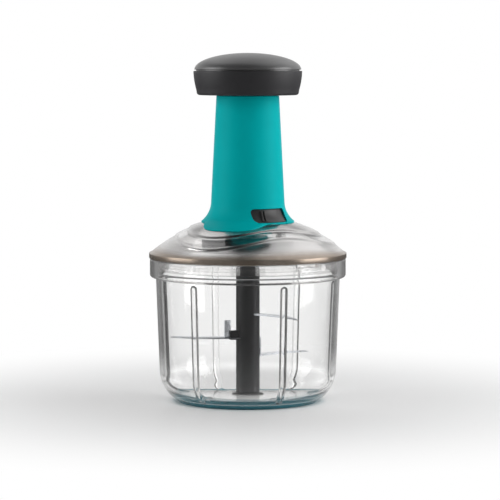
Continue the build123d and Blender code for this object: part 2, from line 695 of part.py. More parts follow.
def make_handle_housing():
    """Tapering handle with a flared foot that lies on the lid's slope, screw bosses and the lock window."""
    lip = Pos(0, 0, 2 * TIER_STEP + FOOT_LIP) * lid_crown(0, SKIRT_BOTTOM_Z, HOUSING_FOOT_INNER)
    body = housing_core(0) + (lip - ring(0, HOUSING_FOOT_INNER, SKIRT_BOTTOM_Z, HOUSING_WAIST_Z))
    body &= wavy_prism(foot_radius, FOOT_POINT_COUNT, LID_RIM_TOP_Z, HOUSING_TOP_Z)
    body -= Pos(0, 0, 2 * TIER_STEP) * lid_crown(0, SKIRT_BOTTOM_Z, LID_SEAT_RADIUS)
    body -= housing_core(HOUSING_WALL) & ring(0, HOUSING_FOOT_INNER, LID_TOP_Z, HOUSING_TOP_Z)
    boss = Pos(SCREW_CIRCLE, 0, 0) * ring(0, HOUSING_BOSS_RADIUS, LID_TOP_Z, LID_TOP_Z + HOUSING_BOSS_HEIGHT)
    for bearing in around(SCREW_COUNT, SCREW_FIRST_BEARING):
        body += (facing(bearing) * boss) & housing_core(HOUSING_WALL / 2)
    for screw in screw_shanks():
        body -= screw
    body -= ring(0, GUIDE_OUTER, GUIDE_Z, HOUSING_TOP_Z)
    body -= housing_core(LOCK_PLATE_INSET - LOCK_POCKET_GAP) & lock_pocket()
    return body - lock_window()


def lock_pocket():
    """Space behind the housing's skin in which the lock plate moves."""
    spare = math.degrees(2 * LOCK_POCKET_GAP / HOUSING_WAIST_RADIUS)
    top = WINDOW_BOTTOM_Z + WINDOW_HEIGHT
    return wedge(LOCK_PLATE_START - spare, LOCK_PLATE_END + LOCK_TRAVEL + spare, WINDOW_BOTTOM_Z, top)


def lock_window():
    """Opening with rounded ends through the housing's flare."""
    outwards = (Align.MIN, Align.CENTER, Align.MIN)
    cutter = Box(2 * LID_TOP_RADIUS, WINDOW_WIDTH, WINDOW_HEIGHT, align=outwards)
    cutter = fillet(cutter.edges().filter_by(Axis.X), WINDOW_CORNER)
    return facing(WINDOW_BEARING) * Pos(TUBE_RADIUS, 0, WINDOW_BOTTOM_Z) * cutter


def make_lock_slider():
    """Ring round the plunger tube with the curved thumb plate and the catch."""
    slider = ring(TUBE_RADIUS + LOCK_RING_GAP, LOCK_RING_OUTER, LOCK_Z, LOCK_RING_TOP_Z)
    spare = HOUSING_BOSS_RADIUS + LOCK_SLOT_GAP
    half_slot = math.degrees(math.asin(spare / SCREW_CIRCLE))
    slot = ring(SCREW_CIRCLE - spare, SCREW_CIRCLE + spare, LOCK_Z, LOCK_RING_TOP_Z)
    for bearing in around(SCREW_COUNT, SCREW_FIRST_BEARING):
        start = bearing - LOCK_TRAVEL - half_slot
        slider -= slot & wedge(start, bearing + half_slot, LOCK_Z, LOCK_RING_TOP_Z)
    web_top = PLATE_BOTTOM_Z + LOCK_WEB_HEIGHT
    plate_side = housing_core(LOCK_PLATE_INSET) & wedge(LOCK_PLATE_START, LOCK_PLATE_END, LOCK_Z, web_top)
    rim_inner = LOCK_RING_OUTER - LOCK_RING_RIM
    slider += plate_side & ring(rim_inner, LOCK_RING_OUTER, LOCK_Z, web_top)
    slider += plate_side & ring(rim_inner, 2 * LOCK_RING_OUTER, PLATE_BOTTOM_Z, web_top)
    plate_back = LOCK_PLATE_INSET + LOCK_PLATE_THICKNESS
    plate = wedge(LOCK_PLATE_START, LOCK_PLATE_END, PLATE_BOTTOM_Z, PLATE_TOP_Z)
    slider += flare_skin(LOCK_PLATE_INSET, plate_back) & plate
    for start in THUMB_RIDGES:
        ridge = wedge(start, start + RIDGE_SPAN, PLATE_BOTTOM_Z + RIDGE_MARGIN, PLATE_TOP_Z - RIDGE_MARGIN)
        slider += flare_skin(-RIDGE_PROUD, plate_back) & ridge
    return slider + lock_catch()


def lock_catch():
    """Upright arm on the lock ring with a tooth at the notch in the plunger tube."""
    start = CATCH_BEARING - CATCH_SPAN / 2
    arm_inner = TUBE_RADIUS + LOCK_RING_GAP
    arm = ring(arm_inner, arm_inner + CATCH_ARM, LOCK_Z, CATCH_TOP_Z)
    tooth = ring(TUBE_RADIUS + CATCH_GAP, arm_inner, CATCH_TOP_Z - CATCH_HEIGHT, CATCH_TOP_Z)
    return (arm + tooth) & wedge(start, start + CATCH_SPAN, LOCK_Z, CATCH_TOP_Z)


def make_guide_bush():
    """Plain bush at the top of the housing that the plunger tube slides in."""
    return ring(TUBE_RADIUS + RUNNING_FIT, GUIDE_OUTER, GUIDE_Z, HOUSING_TOP_Z)


def make_return_spring():
    """Spring that lifts the plunger, pressed together under the nut carrier."""
    return coil(SPRING_RADIUS, SPRING_WIRE, SPRING_TURNS, COVER_FLOOR_Z, CARRIER_Z - FREE_GAP)


def make_plunger_tube():
    """Tube between the knob and the nut carrier, with the notch for the catch."""
    tube = ring(TUBE_RADIUS - TUBE_WALL, TUBE_RADIUS, TUBE_BOTTOM_Z, TUBE_TOP_Z)
    tube += ring(TUBE_RADIUS - TUBE_WALL, TUBE_FLANGE_RADIUS, KNOB_FLOOR_Z, TUBE_TOP_Z)
    start = CATCH_BEARING - CATCH_SPAN
    notch_z = CATCH_TOP_Z - CATCH_HEIGHT - CATCH_GAP
    notch_top = CATCH_TOP_Z + CATCH_GAP
    notch = ring(TUBE_RADIUS - CATCH_NOTCH_DEPTH, TUBE_RADIUS, notch_z, notch_top)
    tube -= notch & wedge(start, start + 2 * CATCH_SPAN, notch_z, notch_top)
    for screw in knob_screw_shanks():
        tube -= screw
    return tube


def knob_screw_shanks():
    """Shanks of the screws that hold the tube in the knob, one solid each."""
    shank = ring(0, SCREW_RADIUS, TUBE_TOP_Z - KNOB_SCREW_LENGTH, TUBE_TOP_Z)
    shank = Pos(KNOB_SCREW_CIRCLE, 0, 0) * shank
    return [facing(bearing) * shank for bearing in around(SCREW_COUNT, 0)]


def make_knob_screws():
    """Short screws with round heads inside the knob."""
    head = ring(0, SCREW_HEAD_RADIUS, TUBE_TOP_Z, TUBE_TOP_Z + SCREW_HEAD_HEIGHT)
    return headed_screws(knob_screw_shanks(), Pos(KNOB_SCREW_CIRCLE, 0, 0) * head, 0)


def make_knob_cup():
    """Open-topped cup of the knob, a little wider at the top."""
    corner_start = (KNOB_BOTTOM_RADIUS - KNOB_CORNER, KNOB_Z)
    corner_end = (KNOB_BOTTOM_RADIUS, KNOB_Z + KNOB_CORNER)
    top = (KNOB_TOP_RADIUS, KNOB_TOP_Z)
    side_middle = ((corner_end[0] + top[0]) / 2 + KNOB_BULGE, (corner_end[1] + top[1]) / 2)
    cup = turned(
        TangentArc(corner_start, corner_end, tangent=(1, 0)),
        ThreePointArc(corner_end, side_middle, top),
        Polyline(top, (0, KNOB_TOP_Z), (0, KNOB_Z), corner_start),
    )
    cup -= turned_outline([
        (0, KNOB_FLOOR_Z),
        (cup_inner_radius(KNOB_FLOOR_Z), KNOB_FLOOR_Z),
        (cup_inner_radius(KNOB_TOP_Z), KNOB_TOP_Z),
        (0, KNOB_TOP_Z),
    ])
    cup -= ring(0, TUBE_RADIUS, KNOB_Z, KNOB_FLOOR_Z)
    for screw in knob_screw_shanks():
        cup -= screw
    return cup


def cup_inner_radius(height):
    """Inside radius of the knob's cup."""
    rise = (height - KNOB_FLOOR_Z) / (KNOB_TOP_Z - KNOB_FLOOR_Z)
    return KNOB_BOTTOM_RADIUS + rise * (KNOB_TOP_RADIUS - KNOB_BOTTOM_RADIUS) - KNOB_WALL


def cap_dome(drop):
    """Solid under the domed top, near a quarter ellipse in section, moved down by a drop."""
    base_z = CAP_Z - drop
    edge = (CAP_RADIUS, base_z)
    crown = (0, base_z + CAP_HEIGHT)
    between = [
        (CAP_RADIUS * math.cos(angle), base_z + CAP_HEIGHT * math.sin(angle))
        for angle in (math.pi / 6, math.pi / 3)
    ]
    outline = Spline(edge, *between, crown, tangents=[(0, 1), (-1, 0)])
    return turned(outline, Polyline(crown, (0, base_z), edge))


def make_knob_cap():
    """Domed cap with a stepped skirt that sits in the cup and leaves a thin seam."""
    seat_radius = CAP_RADIUS - SEAM
    skirt_bottom_z = KNOB_TOP_Z - CAP_SKIRT_DEPTH
    skirt_radius = cup_inner_radius(skirt_bottom_z) - FREE_GAP
    skirt_inner = skirt_radius - CAP_SKIRT_WALL
    cap = cap_dome(0) + ring(0, seat_radius, KNOB_TOP_Z, CAP_Z)
    cap += ring(0, skirt_radius, skirt_bottom_z, KNOB_TOP_Z)
    cap -= ring(0, skirt_inner, skirt_bottom_z, CAP_Z)
    return cap - (cap_dome(CAP_WALL) & ring(0, skirt_inner, CAP_Z - CAP_WALL, CAP_Z + CAP_HEIGHT))


def dog(gap):
    """Driving lug between carrier and nut, along +X."""
    height = DOG_HEIGHT + NUT_GAP + gap
    inwards = (Align.MAX, Align.CENTER, Align.MIN)
    block = Box(DOG_LENGTH + 2 * gap, DOG_WIDTH + 2 * gap, height, align=inwards)
    return Pos(CARRIER_BORE + gap, 0, CARRIER_FLOOR_Z) * block


def make_nut_carrier():
    """Cup at the foot of the tube in which the nut is driven one way."""
    carrier = ring(BAR_HOLE_RADIUS, TUBE_RADIUS - TUBE_WALL, CARRIER_Z, CARRIER_TOP_Z)
    carrier += ring(BAR_HOLE_RADIUS, TUBE_RADIUS, CARRIER_Z, TUBE_BOTTOM_Z)
    carrier -= ring(0, CARRIER_BORE, CARRIER_FLOOR_Z, CARRIER_TOP_Z)
    for bearing in around(DOG_COUNT, 0):
        carrier += facing(bearing) * dog(0)
    return carrier


def twisted_bar(gap):
    """Flat bar twisted about the Z axis, with a gap added all round."""
    section = Rectangle(BAR_WIDTH + 2 * gap, BAR_THICKNESS + 2 * gap).face()
    turns = 360.0 * BAR_TWISTED / BAR_LEAD
    bar = Solid.extrude_linear_with_rotation(section, (0, 0, 0), (0, 0, BAR_TWISTED), turns)
    return Pos(0, 0, SPINDLE_TOP_Z) * bar


def make_drive_nut():
    """Disc with a slot that follows the twist of the bar and notches for the dogs."""
    nut = ring(0, CARRIER_BORE - NUT_GAP, NUT_Z, NUT_Z + NUT_THICKNESS)
    for bearing in around(DOG_COUNT, 0):
        nut -= facing(bearing) * dog(NUT_GAP)
    return nut - twisted_bar(BAR_GAP)


def make_nut_cap():
    """Cover of the nut carrier that the clutch spring pushes against."""
    return ring(BAR_HOLE_RADIUS, CARRIER_BORE, NUT_CAP_Z, NUT_CAP_Z + NUT_CAP_HEIGHT)


def make_clutch_spring():
    """Light spring that holds the nut on its dogs."""
    radius = CARRIER_BORE - 2 * NUT_GAP - 2 * CLUTCH_WIRE
    return coil(radius, CLUTCH_WIRE, CLUTCH_TURNS, NUT_Z + NUT_THICKNESS, NUT_CAP_Z)


def bar_tang():
    """Straight foot of the bar inside the spindle."""
    return Pos(0, 0, BAR_Z) * Box(BAR_WIDTH, BAR_THICKNESS, BAR_TANG, align=STANDING)


def make_spiral_bar():
    """Twisted flat steel bar with a straight foot."""
    return (bar_tang() + twisted_bar(0)) - cross_pin()


def cross_pin():
    """Pin that locks the bar in the spindle."""
    length = 2 * (SPINDLE_RADIUS - CROSS_PIN_INSET)
    pin = Rot(90, 0, 0) * Cylinder(CROSS_PIN_RADIUS, length)
    return Pos(0, 0, SPINDLE_TOP_Z - CROSS_PIN_BELOW_TOP) * pin


def make_output_spindle():
    """Spindle through the cover, hexagonal below to drive the blade column."""
    hexagon = RegularPolygon(HEX_ACROSS_FLATS / 2 / math.cos(math.pi / 6), 6)
    spindle = Pos(0, 0, HEX_BOTTOM_Z) * extrude(hexagon, HEX_LENGTH)
    spindle += ring(0, SPINDLE_FLANGE_RADIUS, SPINDLE_FLANGE_Z, SPINDLE_FLANGE_TOP_Z)
    spindle += ring(0, SPINDLE_RADIUS, SPINDLE_FLANGE_TOP_Z, SPINDLE_TOP_Z)
    spindle -= ring(SPINDLE_RADIUS - CLIP_GROOVE, SPINDLE_RADIUS, CLIP_Z, CLIP_Z + CLIP_THICKNESS)
    return spindle - bar_tang() - cross_pin()


def make_retaining_clip():
    """Clip in the spindle's groove, above the washer."""
    return ring(SPINDLE_RADIUS - CLIP_GROOVE, CLIP_RADIUS, CLIP_Z, CLIP_Z + CLIP_THICKNESS)


def make_parts():
    """Every piece of the chopper by node name."""
    blades = {
        "upper_blade": make_blade(UPPER_BLADE_BEARING, UPPER_BLADE_Z),
        "middle_blade": make_tabbed_blade(MIDDLE_BLADE_BEARING, MIDDLE_BLADE_Z),
        "lower_blade": make_tabbed_blade(LOWER_BLADE_BEARING, LOWER_BLADE_Z),
        "bottom_blade": make_bottom_blade(),
    }
    return {
        "bowl": make_bowl(),
        "base_ring": make_base_ring(),
        "pivot_pin": make_pivot_pin(),
        "blade_column": make_blade_column(blades.values()),
        "foot_bush": make_foot_bush(),
        **blades,
        "lid": make_lid(),
        "lid_gasket": gasket_ring(),
        "drive_cover": make_drive_cover(),
        "cover_screws": make_cover_screws(),
        "thrust_washer": make_thrust_washer(),
        "handle_housing": make_handle_housing(),
        "guide_bush": make_guide_bush(),
        "return_spring": make_return_spring(),
        "lock_slider": make_lock_slider(),
        "plunger_tube": make_plunger_tube(),
        "nut_carrier": make_nut_carrier(),
        "drive_nut": make_drive_nut(),
        "nut_cap": make_nut_cap(),
        "clutch_spring": make_clutch_spring(),
        "knob_cup": make_knob_cup(),
        "knob_cap": make_knob_cap(),
        "knob_screws": make_knob_screws(),
        "spiral_bar": make_spiral_bar(),
        "cross_pin": cross_pin(),
        "output_spindle": make_output_spindle(),
        "retaining_clip": make_retaining_clip(),
    }


os.makedirs("parts", exist_ok=True)
for node, shape in make_parts().items():
    export_step(shape, f"parts/{node}.step")
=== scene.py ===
"""Push-down food chopper: meshes, finishes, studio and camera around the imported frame.

Sizes in the classes are millimetres; meshes are written in metres. The origin is under the middle of
the base ring, +Z is up and the front faces -Y. Bearings are degrees from the front, growing towards +X.
"""

from __future__ import annotations

import json
import logging
import math
from contextlib import contextmanager
from dataclasses import dataclass
from enum import Enum
from functools import reduce
from typing import Callable, Iterable, Iterator, Sequence

import bmesh
import bpy
from mathutils import Matrix, Vector

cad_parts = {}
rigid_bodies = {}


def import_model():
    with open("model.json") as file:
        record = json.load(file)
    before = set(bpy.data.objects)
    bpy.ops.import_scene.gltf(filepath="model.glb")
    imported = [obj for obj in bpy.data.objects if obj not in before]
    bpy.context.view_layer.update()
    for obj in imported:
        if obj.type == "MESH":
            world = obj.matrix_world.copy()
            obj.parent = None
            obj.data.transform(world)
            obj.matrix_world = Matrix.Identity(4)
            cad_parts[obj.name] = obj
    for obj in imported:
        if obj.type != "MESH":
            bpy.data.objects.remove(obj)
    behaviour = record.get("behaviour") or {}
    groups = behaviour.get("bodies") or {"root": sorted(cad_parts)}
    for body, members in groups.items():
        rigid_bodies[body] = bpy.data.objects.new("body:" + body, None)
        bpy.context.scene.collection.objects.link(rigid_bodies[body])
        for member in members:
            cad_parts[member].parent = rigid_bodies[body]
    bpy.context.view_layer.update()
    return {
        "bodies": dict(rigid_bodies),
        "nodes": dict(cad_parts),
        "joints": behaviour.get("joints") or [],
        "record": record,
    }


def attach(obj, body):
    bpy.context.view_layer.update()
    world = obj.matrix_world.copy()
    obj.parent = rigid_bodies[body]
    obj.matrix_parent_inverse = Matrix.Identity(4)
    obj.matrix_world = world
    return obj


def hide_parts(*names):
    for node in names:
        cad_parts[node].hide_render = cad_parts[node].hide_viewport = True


LOG = logging.getLogger("chopper")
MM = 0.001
WELD = MM * 0.002
FLAT_TURN = 179.0
LEVEL = 0.5
CRISP = 30.0
RUN_SHARE = 0.49
# ridge marks where the clear plastic gets painted shade beside the ribs.
RIDGE = "ridge"
VEIL = "veil"
# Painted surroundings: a painted brown reflection on the lid's rim and the ring's blue painted on the bowl's
# foot.
PAINTED_SURROUND = "painted_surround"
FAINT = "faint"
NOISE_RANGE = (0.3, 0.7)
WHITE = (1.0, 1.0, 1.0)
Point = tuple[float, float]
Triple = tuple[float, float, float]
Piece = bpy.types.Object
Socket = bpy.types.NodeSocket


class Grain(Enum):
    """Direction in which a metal is finished, by how its lines are stretched."""

    ROUND = (0.3, 0.3, 6.0)
    ALONG = (4.0, 4.0, 0.3)


# ---------------------------------------------------------------------------------------------
# Mesh bench


def deselect() -> None:
    """Leave edit mode and clear the selection."""
    if bpy.context.object is not None and bpy.context.object.mode != "OBJECT":
        bpy.ops.object.mode_set(mode="OBJECT")
    bpy.ops.object.select_all(action="DESELECT")


def activate(piece: Piece) -> None:
    """Make one object the only selected and active one.

    Args:
        piece: The object to work on.
    """
    deselect()
    piece.select_set(True)
    bpy.context.view_layer.objects.active = piece


@contextmanager
def edited(piece: Piece) -> Iterator[None]:
    """Edit mode on a piece, with all of it selected.

    Args:
        piece: The object to edit.

    Returns:
        Nothing; the mode ends with the block of code.
    """
    activate(piece)
    bpy.ops.object.mode_set(mode="EDIT")
    bpy.ops.mesh.select_all(action="SELECT")
    yield
    deselect()


def settle(piece: Piece) -> None:
    """Put an object's place into its mesh, so that it sits at the origin unturned and unscaled."""
    activate(piece)
    bpy.ops.object.transform_apply(location=True, rotation=True, scale=True)


def added(name: str) -> Piece:
    """The object that was just added, with its new name.

    Args:
        name: The new name.

    Returns:
        The object.
    """
    piece = bpy.context.object
    piece.name = piece.data.name = name
    return piece


def polar(radius: float, bearing: float, height: float = 0.0) -> Vector:
    """Place in metres of a point at a radius, bearing and height."""
    angle = math.radians(bearing)
    return Vector((math.sin(angle) * radius, -math.cos(angle) * radius, height)) * MM


def bearing_of(point: Vector) -> float:
    """Bearing of a point in degrees, from 0 to 360."""
    return math.degrees(math.atan2(point.x, -point.y)) % 360.0


def measured(point: Vector) -> Point:
    """Distance from the Z axis and height of a point, in millimetres."""
    return math.hypot(point.x, point.y) / MM, point.z / MM


def lobes(bearing: float, peak: float, count: int = 3) -> float:
    """Wave round the axis, from -1 to 1, with its first crest at the peak bearing."""
    return math.cos(math.radians(count * (bearing - peak)))


def ease(value: float, low: float, high: float) -> float:
    """Smooth step from 0 at low to 1 at high."""
    share = min(1.0, max(0.0, (value - low) / (high - low)))
    return share * share * (3.0 - 2.0 * share)


def rounded(corners: Sequence[Triple], steps: int = 5) -> list[Point]:
    """Outline with its corners rounded by arcs.

    Args:
        corners: Radius, height and corner rounding of each corner, in order.
        steps: Pieces in each arc.

    Returns:
        The points of the outline; its two ends stay sharp.
    """
    points: list[Point] = [corners[0][:2]]
    for before, here, after in zip(corners, corners[1:], corners[2:]):
        corner = Vector(here[:2])
        back = Vector(before[:2]) - corner
        ahead = Vector(after[:2]) - corner
        turn = back.angle(ahead)
        if here[2] <= 0.0 or turn > math.radians(FLAT_TURN):
            points.append(tuple(corner))
            continue
        reach = min(here[2] / math.tan(turn / 2.0), RUN_SHARE * back.length, RUN_SHARE * ahead.length)
        radius = reach * math.tan(turn / 2.0)
        middle = (back.normalized() + ahead.normalized()).normalized()
        centre = corner + middle * (radius / math.sin(turn / 2.0))
        start = corner + back.normalized() * reach - centre
        end = corner + ahead.normalized() * reach - centre
        swing = start.angle_signed(end)
        for step in range(steps + 1):
            offset = Matrix.Rotation(-swing * step / steps, 2) @ start
            points.append(tuple(centre + offset))
    points.append(corners[-1][:2])
    return points


def arc(start: Point, end: Point, centre: Point, steps: int) -> list[Point]:
    """Points on the short way round a centre from start to end, both included.

    Args:
        start: First point.
        end: Last point.
        centre: Middle of the arc.
        steps: Pieces in the arc.

    Returns:
        The points.
    """
    middle = Vector(centre)
    first = Vector(start) - middle
    swing = first.angle_signed(Vector(end) - middle)
    return [tuple(middle + Matrix.Rotation(-swing * step / steps, 2) @ first) for step in range(steps + 1)]


def refined(points: Sequence[Point], longest: float) -> list[Point]:
    """The same outline with points added, so that no run is longer than a length in millimetres.

    Args:
        points: Outline points.
        longest: Longest run allowed.

    Returns:
        The finer outline.
    """
    result: list[Point] = [points[0]]
    for start, end in zip(points, points[1:]):
        count = max(1, math.ceil(math.dist(start, end) / longest))
        for step in range(1, count + 1):
            share = step / count
            result.append((start[0] + (end[0] - start[0]) * share, start[1] + (end[1] - start[1]) * share))
    return result


def lathe(name: str, outline: Sequence[Point], steps: int = 160, closed: bool = True) -> Piece:
    """Turn an outline about the Z axis.

    Args:
        name: Name of the new object.
        outline: Radius and height of each point, in millimetres.
        steps: Pieces round the turn.
        closed: Whether the outline's last point joins its first.

    Returns:
        The turned object, in metres.
    """
    deselect()
    bpy.ops.mesh.primitive_plane_add(size=MM)
    piece = added(name)
    with edited(piece):
        bpy.ops.mesh.merge(type="CENTER")
        bpy.ops.transform.translate(value=Vector((outline[0][0], 0.0, outline[0][1])) * MM)
        for before, here in zip(outline, outline[1:]):
            step = Vector((here[0] - before[0], 0.0, here[1] - before[1])) * MM
            bpy.ops.mesh.extrude_region_move(TRANSFORM_OT_translate={"value": step})
        if closed and outline[0] != outline[-1]:
            mesh = bmesh.from_edit_mesh(piece.data)
            mesh.edges.new([vertex for vertex in mesh.verts if len(vertex.link_edges) == 1])
            bmesh.update_edit_mesh(piece.data)
        bpy.ops.mesh.select_all(action="SELECT")
        bpy.ops.mesh.spin(steps=steps, angle=math.tau, center=(0, 0, 0), axis=(0, 0, 1))
        bpy.ops.mesh.select_all(action="SELECT")
        bpy.ops.mesh.remove_doubles(threshold=WELD)
        bpy.ops.mesh.normals_make_consistent(inside=False)
    return piece


def reshape(piece: Piece, place: Callable[[Vector], Vector]) -> None:
    """Move every vertex of a piece to the place, in metres, that a function gives for it.

    Args:
        piece: The object to change.
        place: Gives a vertex's new place from its old one.
    """
    for vertex in piece.data.vertices:
        vertex.co = place(vertex.co.copy())
    piece.data.update()


def smooth(piece: Piece, angle: float = 32.0) -> Piece:
    """Shade a piece smooth, with edges sharper than an angle left crisp, and give it back.

    Args:
        piece: The object to change.
        angle: Smallest angle in degrees that stays crisp.

    Returns:
        The piece.
    """
    activate(piece)
    bpy.ops.object.shade_smooth_by_angle(angle=math.radians(angle))
    return piece


def finish_with(piece: Piece, kind: str, **settings: object) -> None:
    """Add a modifier of a kind with its settings, and apply it.

    Args:
        piece: The object to change.
        kind: Blender's name for the modifier type.
        settings: Values for the modifier.
    """
    activate(piece)
    modifier = piece.modifiers.new(kind.title(), kind)
    for key, value in settings.items():
        setattr(modifier, key, value)
    bpy.ops.object.modifier_apply(modifier=modifier.name)


def cut(piece: Piece, tool: Piece, joined: bool = False) -> None:
    """Take a tool's shape out of a piece, or join it on, and remove the tool.

    Args:
        piece: The object to change.
        tool: The cutting or added object.
        joined: Whether the tool is joined on and not cut away.
    """
    finish_with(piece, "BOOLEAN", operation="UNION" if joined else "DIFFERENCE", object=tool, solver="EXACT")
    bpy.data.objects.remove(tool, do_unlink=True)


def mark(piece: Piece, name: str, measure: Callable[[Vector], float]) -> None:
    """Write a value that depends on the place into a named attribute of every vertex."""
    layer = piece.data.attributes.new(name, "FLOAT", "POINT")
    layer.data.foreach_set("value", [measure(vertex.co) for vertex in piece.data.vertices])


def soften(piece: Piece, width: float, segments: int = 2, angle: float = 35.0) -> None:
    """Round a piece's sharp edges.

    Args:
        piece: The object to change.
        width: Width of the rounding in millimetres.
        segments: Pieces across the rounding.
        angle: Smallest angle in degrees that counts as sharp.
    """
    limit = {"limit_method": "ANGLE", "angle_limit": math.radians(angle)}
    finish_with(piece, "BEVEL", width=width * MM, segments=segments, **limit)


def join(name: str, pieces: Sequence[Piece]) -> Piece:
    """Join several objects into one, and name it.

    Args:
        name: Name of the joined object.
        pieces: Objects to join.

    Returns:
        The joined object.
    """
    deselect()
    for piece in pieces:
        piece.select_set(True)
    bpy.context.view_layer.objects.active = pieces[0]
    bpy.ops.object.join()
    pieces[0].name = pieces[0].data.name = name
    return pieces[0]


def block(name: str, size: Sequence[float], middle: Sequence[float]) -> Piece:
    """Box to be shaped further, by its size and middle in millimetres.

    Args:
        name: Name of the box.
        size: Length along each axis.
        middle: Its middle.

    Returns:
        The box.
    """
    deselect()
    bpy.ops.mesh.primitive_cube_add(size=1.0, location=Vector(middle) * MM)
    piece = added(name)
    piece.scale = Vector(size) * MM
    settle(piece)
    return piece


def prism(sides: int, radius: float, depth: float, middle: Sequence[float]) -> Piece:
    """Upright prism by its radius and depth in millimetres and its middle in metres.

    Args:
        sides: Number of sides.
        radius: Distance from the middle to a corner.
        depth: Height of the prism.
        middle: Its middle.

    Returns:
        The prism.
    """
    deselect()
    bpy.ops.mesh.primitive_cylinder_add(
        vertices=sides, radius=radius * MM, depth=depth * MM, location=middle
    )
    piece = bpy.context.object
    settle(piece)
    return piece


def slab(name: str, cells: tuple[int, int], place: Callable[[Vector], Vector], weld: float = 0.0) -> Piece:
    """Closed block on a grid, drawn into a new shape.

    Args:
        name: Name of the new object.
        cells: Grid cells along X and Y.
        place: Gives the place, in metres, of a point of a block one unit long, wide and high.
        weld: Largest distance in millimetres at which points are merged, or 0 for none.

    Returns:
        The drawn block.
    """
    deselect()
    bpy.ops.mesh.primitive_grid_add(x_subdivisions=cells[0], y_subdivisions=cells[1], size=1.0)
    piece = added(name)
    with edited(piece):
        bpy.ops.mesh.extrude_region_move(TRANSFORM_OT_translate={"value": (0.0, 0.0, 1.0)})
    reshape(piece, place)
    with edited(piece):
        if weld > 0.0:
            bpy.ops.mesh.remove_doubles(threshold=MM * weld)
        bpy.ops.mesh.normals_make_consistent(inside=False)
    return piece


def sector(name: str, turn: Point, radii: Point, heights: Point, steps: int = 12) -> Piece:
    """Part of a ring between two bearings.

    Args:
        name: Name of the new object.
        turn: First bearing and span in degrees.
        radii: Inner and outer radius.
        heights: Lower and upper height.
        steps: Pieces along the span.

    Returns:
        The closed block.
    """

    def bent(point: Vector) -> Vector:
        """Place of a block point on the ring.

        Args:
            point: Point of the unit block.

        Returns:
            The place in metres.
        """
        radius = radii[0] + (point.y + 0.5) * (radii[1] - radii[0])
        height = heights[0] + point.z * (heights[1] - heights[0])
        return polar(radius, turn[0] + (point.x + 0.5) * turn[1], height)

    return slab(name, (steps, 1), bent)


def face_bearing(piece: Piece, bearing: float) -> None:
    """Turn a piece built along +X so that it points along a bearing."""
    piece.rotation_euler = (0.0, 0.0, math.radians(bearing - 90.0))
    settle(piece)


def copied_node(frame: dict, node: str, name: str, rounding: float = 0.0) -> Piece:
    """Smooth-shaded copy of a frame node.

    Args:
        frame: The loaded frame.
        node: Node to copy.
        name: Name of the copy.
        rounding: Edge rounding in millimetres, or 0 for none.

    Returns:
        The copy, with its loose triangles merged.
    """
    source = frame["nodes"][node]
    piece = bpy.data.objects.new(name, source.data.copy())
    piece.data.name = name
    bpy.context.scene.collection.objects.link(piece)
    piece.data.materials.clear()
    with edited(piece):
        bpy.ops.mesh.remove_doubles(threshold=WELD)
        bpy.ops.mesh.dissolve_limited(angle_limit=math.radians(LEVEL))
    if rounding > 0.0:
        soften(piece, rounding, angle=40.0)
    return smooth(piece, angle=CRISP)


# ---------------------------------------------------------------------------------------------
# Finishes


